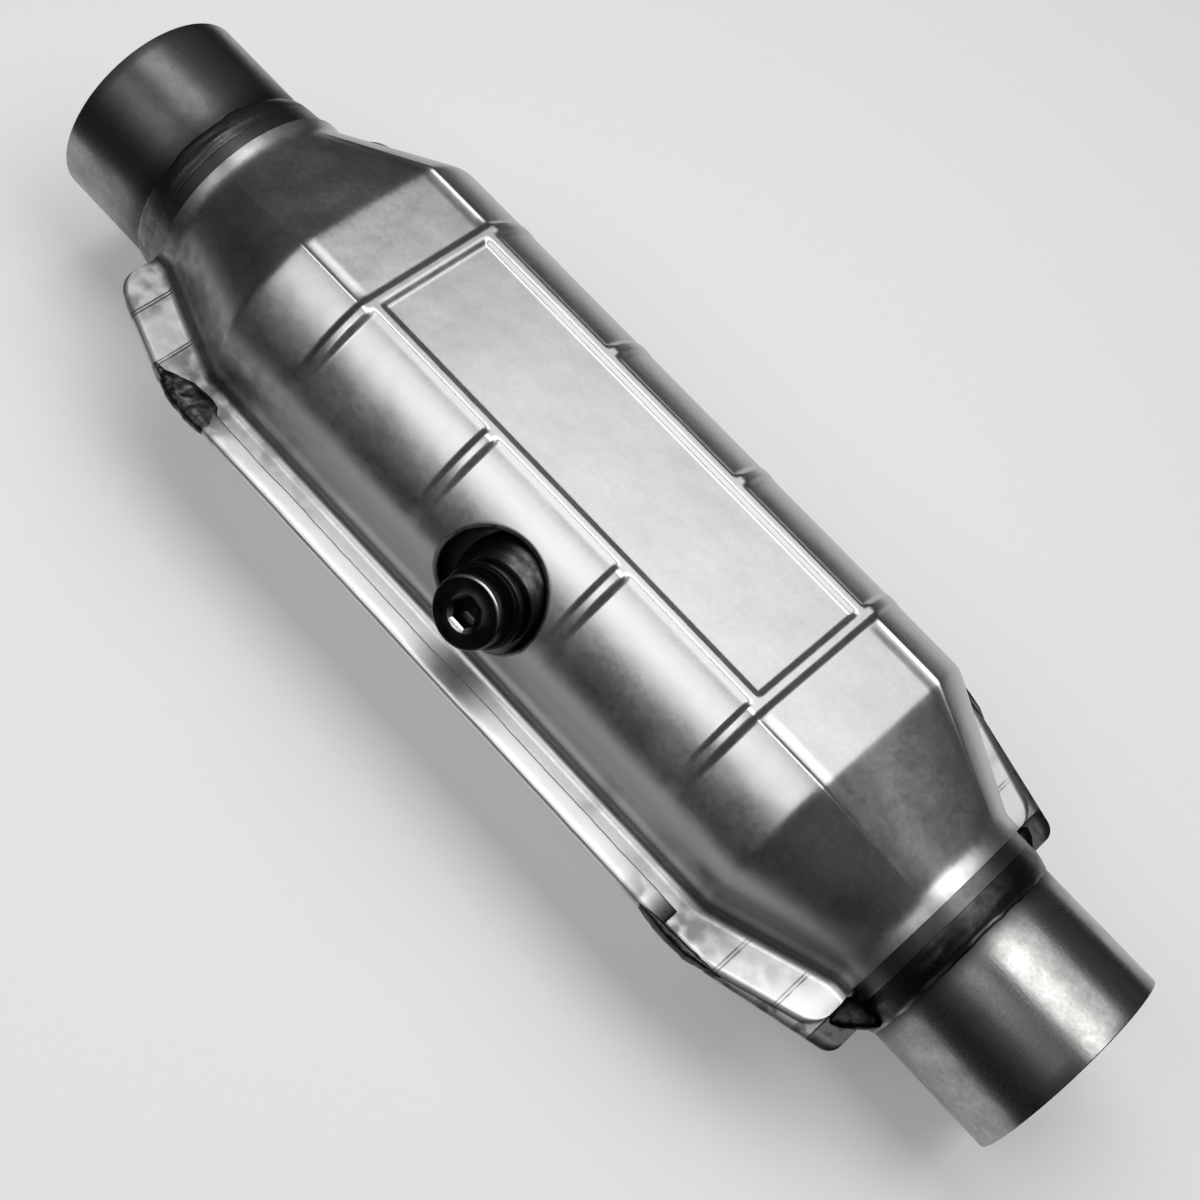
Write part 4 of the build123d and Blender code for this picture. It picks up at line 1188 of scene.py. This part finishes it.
port_placing = {"origin": (port_x, 0.0, 0.0), "axis": port_axis}
bung_foot = can_radius - 4.0
turned_piece(
    "sensor_bung_turned",
    [
        (bung_foot, BUNG_RADIUS),
        (bung_top, BUNG_RADIUS),
        (bung_top, THREAD_RADIUS),
        (bung_foot, THREAD_RADIUS),
    ],
    (0.0, 0.7, 0.5, 0.0), black_steel, "blackened_steel", ["sensor_bung"], turns=160, **port_placing,
)
turned_piece(
    "plug_gasket_ring",
    [
        (bung_top, GASKET_RADIUS),
        (bung_top + GASKET_THICKNESS, GASKET_RADIUS),
        (bung_top + GASKET_THICKNESS, THREAD_RADIUS),
        (bung_top, THREAD_RADIUS),
    ],
    (0.4, 0.4, 0.2, 0.2), copper, "gasket_copper", ["plug_gasket"], turns=128, **port_placing,
)


def port_plug_piece():
    """The hexagon socket plug: a profile turned about the port's axis whose radius follows a hexagon in the
    socket, half its width over the cosine of the angle from the nearest flat, and a circle everywhere else.
    The head's rounded edge and the socket's countersink are lighter: a little rubbing on the rim all round,
    and painted glints on the rim's upper side and the countersink's lower side."""
    turns = 192
    turn = np.linspace(0.0, 2 * math.pi, turns, endpoint=False)[:, None]
    from_flat = (turn + math.pi / 6) % (math.pi / 3) - math.pi / 6
    hexagon = SOCKET_SIZE / 2 / np.cos(from_flat)
    seat = bung_top + GASKET_THICKNESS
    top = seat + PLUG_HEAD_HEIGHT
    edge_turn = np.linspace(0.0, math.pi / 2, 6)
    outside = [
        (seat - 10.0, 0.01),
        (seat - 10.0, PLUG_SHANK_RADIUS),
        (seat, PLUG_SHANK_RADIUS),
        (seat, 9.9),
        (seat + 0.2, PLUG_HEAD_RADIUS),
    ]
    rim = [
        (top - PLUG_EDGE + PLUG_EDGE * math.sin(a), PLUG_HEAD_RADIUS - PLUG_EDGE + PLUG_EDGE * math.cos(a))
        for a in edge_turn
    ]
    along = [p[0] for p in outside + rim]
    radius = [np.full_like(turn, p[1]) for p in outside + rim]
    lightened = [0.0] * len(outside) + [0.0, 0.5, 1.0, 1.0, 0.5, 0.0]
    socket_rows = (
        (top, hexagon * 0 + COUNTERSINK_RADIUS, 0.0),
        (top - 0.1, hexagon * 0 + COUNTERSINK_RADIUS - 0.15, 1.0),
        (top - 0.9, hexagon + 0.05, 1.0),
        (top - 1.1, hexagon, 0.0),
        (top - SOCKET_DEPTH, hexagon, 0.0),
        (top - SOCKET_DEPTH, hexagon * 0.5, 0.0),
        (top - SOCKET_DEPTH - 0.6, hexagon * 0 + 0.01, 0.0),
    )
    for level, row, edge_lightening in socket_rows:
        along.append(level)
        radius.append(row)
        lightened.append(edge_lightening)
    points, faces = on_port(np.array(along), np.concatenate(radius, axis=1), turns, closed=False)
    # Painted glints: the rim is lighter where it faces up the shield, over a little rubbing all round, and
    # the countersink on its lower side
    lightened = np.array(lightened)
    rim_glint_side = 0.1 + 0.9 * smooth_step(0.1, 0.9, np.cos(turn))
    countersink_glint_side = smooth_step(0.35, 0.95, -np.cos(turn))
    in_socket = np.arange(len(lightened)) >= len(outside) + len(rim)
    marks = {"bare_and_glint": (lightened * np.where(in_socket, countersink_glint_side, rim_glint_side)).ravel()}
    return make_piece(
        "port_plug_socket_head", points, facing_out(points, faces), black_steel,
        ["port_plug"], marks,
    )


port_plug_piece()


def bung_bead():
    """The weld round the bung: a fillet between the can and the bung, turned about the port's axis, that
    follows the can down its sides. Streaks run round its face."""
    turns, steps = 300, 18
    turn = np.linspace(0.0, 2 * math.pi, turns, endpoint=False)[:, None]
    share = np.linspace(0.0, 1.0, steps)
    leg, climb = 6.2, 8.0
    circle = np.stack((np.cos(turn) * 14.0, np.sin(turn) * 14.0, np.full_like(turn, 5.0)), axis=-1)
    bulge = np.sin(math.pi * share) * (0.7 + 0.25 * lumps(circle, 6.0, 91))
    ripple = np.sin(math.pi * share) * 0.4 * lumps(streak_places(circle, share, 26.0), 6.5, 93)
    out = leg * (1 - share) + (bulge + ripple) * 0.7
    up = climb * share + (bulge + ripple) * 0.5
    radius = BUNG_RADIUS - 0.2 + out
    across = np.sin(turn) * radius
    fall = can_radius - np.sqrt(np.clip(can_radius**2 - across**2, 1.0, None))
    along = can_radius - 0.4 + up - fall
    inside_radius = np.full((turns, 1), BUNG_RADIUS - 0.4)
    foot_fall = can_radius - np.sqrt(can_radius**2 - (np.sin(turn) * BUNG_RADIUS) ** 2)
    radius = np.concatenate((radius, inside_radius), axis=1)
    along = np.concatenate((along, can_radius - 1.5 - foot_fall), axis=1)
    points, faces = on_port(along, radius, turns)
    return make_piece("bung_bead", points, facing_out(points, faces), grey_weld, ["bung_weld"])


bung_bead()

# Honeycomb bricks seen through the necks

CELL_PITCH = 1.27
CELL_WALL = 0.17
CELL_DEPTH = 12.0
BRICK_SKIN = 0.9


def brick_piece(name, node, face, into, far):
    """A brick: a closed core behind the cells, a skin round them and an egg-crate of thin plates in front.
    Each plate crosses the circle at its own place, so its length is that chord's."""
    bottom = face + into * CELL_DEPTH
    core_along = np.array([bottom, far, far, bottom])
    core_radius = np.array([brick_radius, brick_radius, 0.01, 0.01])
    core_points, core_faces = around(core_along, core_radius, 160)
    skin_inner = brick_radius - BRICK_SKIN
    skin_points, skin_faces = around(
        np.array([face, bottom, bottom, face]),
        np.array([brick_radius, brick_radius, skin_inner, skin_inner]),
        160,
    )
    count = int(skin_inner / CELL_PITCH)
    places = np.arange(-count, count + 1) * CELL_PITCH
    chord = np.sqrt(skin_inner**2 - places**2) + 0.2
    shells = [
        (core_points, [facing_out(core_points, core_faces)], {}),
        (skin_points, [facing_out(skin_points, skin_faces)], {}),
    ]
    corner_signs = np.array(
        [
            (-1, -1, 0), (1, -1, 0), (1, 1, 0), (-1, 1, 0),
            (-1, -1, 1), (1, -1, 1), (1, 1, 1), (-1, 1, 1),
        ],
        float,
    )
    box_faces = np.array([(0, 3, 2, 1), (4, 5, 6, 7), (0, 1, 5, 4), (1, 2, 6, 5), (2, 3, 7, 6), (3, 0, 4, 7)])
    for across in (1, 2):
        other = 3 - across
        plates = np.zeros((len(places), 8, 3))
        plates[..., across] = places[:, None] + corner_signs[:, 0] * CELL_WALL / 2
        plates[..., other] = corner_signs[:, 1] * chord[:, None]
        plates[..., 0] = face + corner_signs[:, 2] * (bottom - face)
        faces = (box_faces[None] + np.arange(len(places))[:, None, None] * 8).reshape(-1, 4)
        flat = plates.reshape(-1, 3)
        shells.append((flat, [facing_out(flat, faces)], {}))
    points, faces = join_shells(shells)[:2]
    return make_piece(name, points, faces, ceramic, [node], smooth=False)


brick_piece("front_brick_honeycomb", "front_brick", brick_start, 1, brick_end)
brick_piece("rear_brick_honeycomb", "rear_brick", mirrored(brick_start), -1, mirrored(brick_end))

# CAD nodes that stay get their material
finishes = {
    "converter_can": can_steel,
    "inlet_can_weld": weld_metal,
    "outlet_can_weld": weld_metal,
    "inlet_cone_insulation": fibre,
    "outlet_cone_insulation": fibre,
    "front_mat": fibre,
    "rear_mat": fibre,
    "front_mat_inlet_seal": wire_mesh,
    "front_mat_outlet_seal": wire_mesh,
    "rear_mat_inlet_seal": wire_mesh,
    "rear_mat_outlet_seal": wire_mesh,
}
for node, finish in finishes.items():
    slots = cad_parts[node].data.materials
    slots.clear()
    slots.append(finish)

# Floor, light and camera

FLOOR_SIZE = 16.0
FLOOR_GLOW = 0.18
# A low dark card stands on the floor round the object, outside what the camera sees, in metres
CARD_CENTRE = (0.19, 0.12)
CARD_HALF_SIZES = (0.34, 0.41)
CARD_HEIGHT = 0.13
CARD_TURNS = 128


def pale_floor_material():
    """A matt pale floor. Seen by the camera and in reflections it glows a little and so reads as near white,
    and what the lamps leave in shade still shows on it."""
    material, tree, shader, place = new_material("pale_studio_floor", Roughness=0.9)
    grain = add_node(tree, "TexNoise", {"Vector": place, "Scale": per_metre(3.0)})
    colour = add_node(tree, "Mix", {0: grain, 6: linear("#E4E4E4"), 7: linear("#E7E7E7")}, **COLOURS)
    tree.links.new(colour, shader.inputs["Base Color"])
    rays = tree.nodes.new("ShaderNodeLightPath").outputs
    seen = add_node(tree, "Math", {0: rays["Is Camera Ray"], 1: rays["Is Glossy Ray"]}, operation="MAXIMUM")
    seen = add_node(tree, "Math", {0: seen, 1: rays["Is Transmission Ray"]}, operation="MAXIMUM")
    glow = add_node(tree, "Math", {0: seen, 1: FLOOR_GLOW}, operation="MULTIPLY")
    shader.inputs["Emission Color"].default_value = (1.0, 1.0, 1.0, 1.0)
    tree.links.new(glow, shader.inputs["Emission Strength"])
    return material


def dark_card():
    """A low upright card of black velvet that runs round the object in an oval. The metal mirrors it, and it
    casts no shadow and isn't in the camera's picture."""
    turn = np.linspace(0.0, 2 * math.pi, CARD_TURNS, endpoint=False)
    x = CARD_CENTRE[0] + CARD_HALF_SIZES[0] * np.cos(turn)
    y = CARD_CENTRE[1] + CARD_HALF_SIZES[1] * np.sin(turn)
    low = np.stack((x, y, np.full_like(x, floor_level)), axis=-1)
    points = np.concatenate((low, low + (0.0, 0.0, CARD_HEIGHT)))
    mesh = bpy.data.meshes.new("dark_card")
    foot = np.arange(CARD_TURNS)
    mesh.from_pydata(points.tolist(), [], strip_faces(foot, foot + CARD_TURNS).tolist())
    material, tree, shader, place = new_material("black_velvet_card", Roughness=0.95)
    pile = add_node(tree, "TexNoise", {"Vector": place, "Scale": per_metre(2.0)})
    colour = add_node(tree, "Mix", {0: pile, 6: linear("#2A2A2A"), 7: linear("#303030")}, **COLOURS)
    tree.links.new(colour, shader.inputs["Base Color"])
    mesh.materials.append(material)
    card = bpy.data.objects.new("dark_card", mesh)
    card.visible_camera = False
    card.visible_diffuse = False
    card.visible_shadow = False
    bpy.context.scene.collection.objects.link(card)


floor_mesh = bpy.data.meshes.new("floor")
floor_level = cad_box[0].z - 0.0001
half = FLOOR_SIZE / 2
floor_corners = [(x, y, floor_level) for x, y in ((-half, -half), (half, -half), (half, half), (-half, half))]
floor_mesh.from_pydata(floor_corners, [], [(0, 1, 2, 3)])
floor_mesh.materials.append(pale_floor_material())
floor = bpy.data.objects.new("floor", floor_mesh)
bpy.context.scene.collection.objects.link(floor)
dark_card()


def softbox(name, centre, width, length, brightness):
    """A level rectangular lamp that shines down and whose face has an even brightness: its power is that
    brightness times pi times its area."""
    light = bpy.data.lights.new(name, "AREA")
    light.shape = "RECTANGLE"
    light.size = width
    light.size_y = length
    light.energy = brightness * math.pi * width * length
    lamp = bpy.data.objects.new(name, light)
    lamp.location = centre
    lamp.visible_camera = False
    bpy.context.scene.collection.objects.link(lamp)
    return lamp


# A bright strip over the object, a weaker box behind it and a third one over the camera's shoulder
LAMP_LEVEL = 0.90
for lamp_name, (x0, x1), (y0, y1), brightness in (
    ("overhead_strip", (-0.42, 0.80), (-0.16, 0.25), 3.1),
    ("back_softbox", (-0.25, 0.65), (0.25, 0.75), 1.5),
    ("front_softbox", (-0.42, 0.36), (-1.05, -0.45), 2.4),
):
    lamp_x, lamp_y = (x0 + x1) / 2, (y0 + y1) / 2
    softbox(lamp_name, (lamp_x, lamp_y, LAMP_LEVEL), x1 - x0, y1 - y0, brightness)

world = bpy.data.worlds.new("studio_dusk")
world.use_nodes = True
background = world.node_tree.nodes["Background"]
background.inputs["Color"].default_value = linear("#9A9A9A")
background.inputs["Strength"].default_value = 0.20
bpy.context.scene.world = world
bpy.context.scene.view_settings.view_transform = "Standard"

camera_data = bpy.data.cameras.new("photo_camera")
camera_data.sensor_width = SENSOR_WIDTH
camera_data.lens = SENSOR_WIDTH * CAMERA_FOCAL_PIXELS / PHOTO_WIDTH
camera_data.clip_start = 0.01
camera = bpy.data.objects.new("photo_camera", camera_data)
right, look = Vector(CAMERA_RIGHT), Vector(CAMERA_LOOK)
up = right.cross(look)
turned = Matrix((right, up, -look)).transposed().to_4x4()
camera.matrix_world = Matrix.Translation(Vector(CAMERA_PLACE) * MM) @ turned
bpy.context.scene.collection.objects.link(camera)
bpy.context.scene.camera = camera
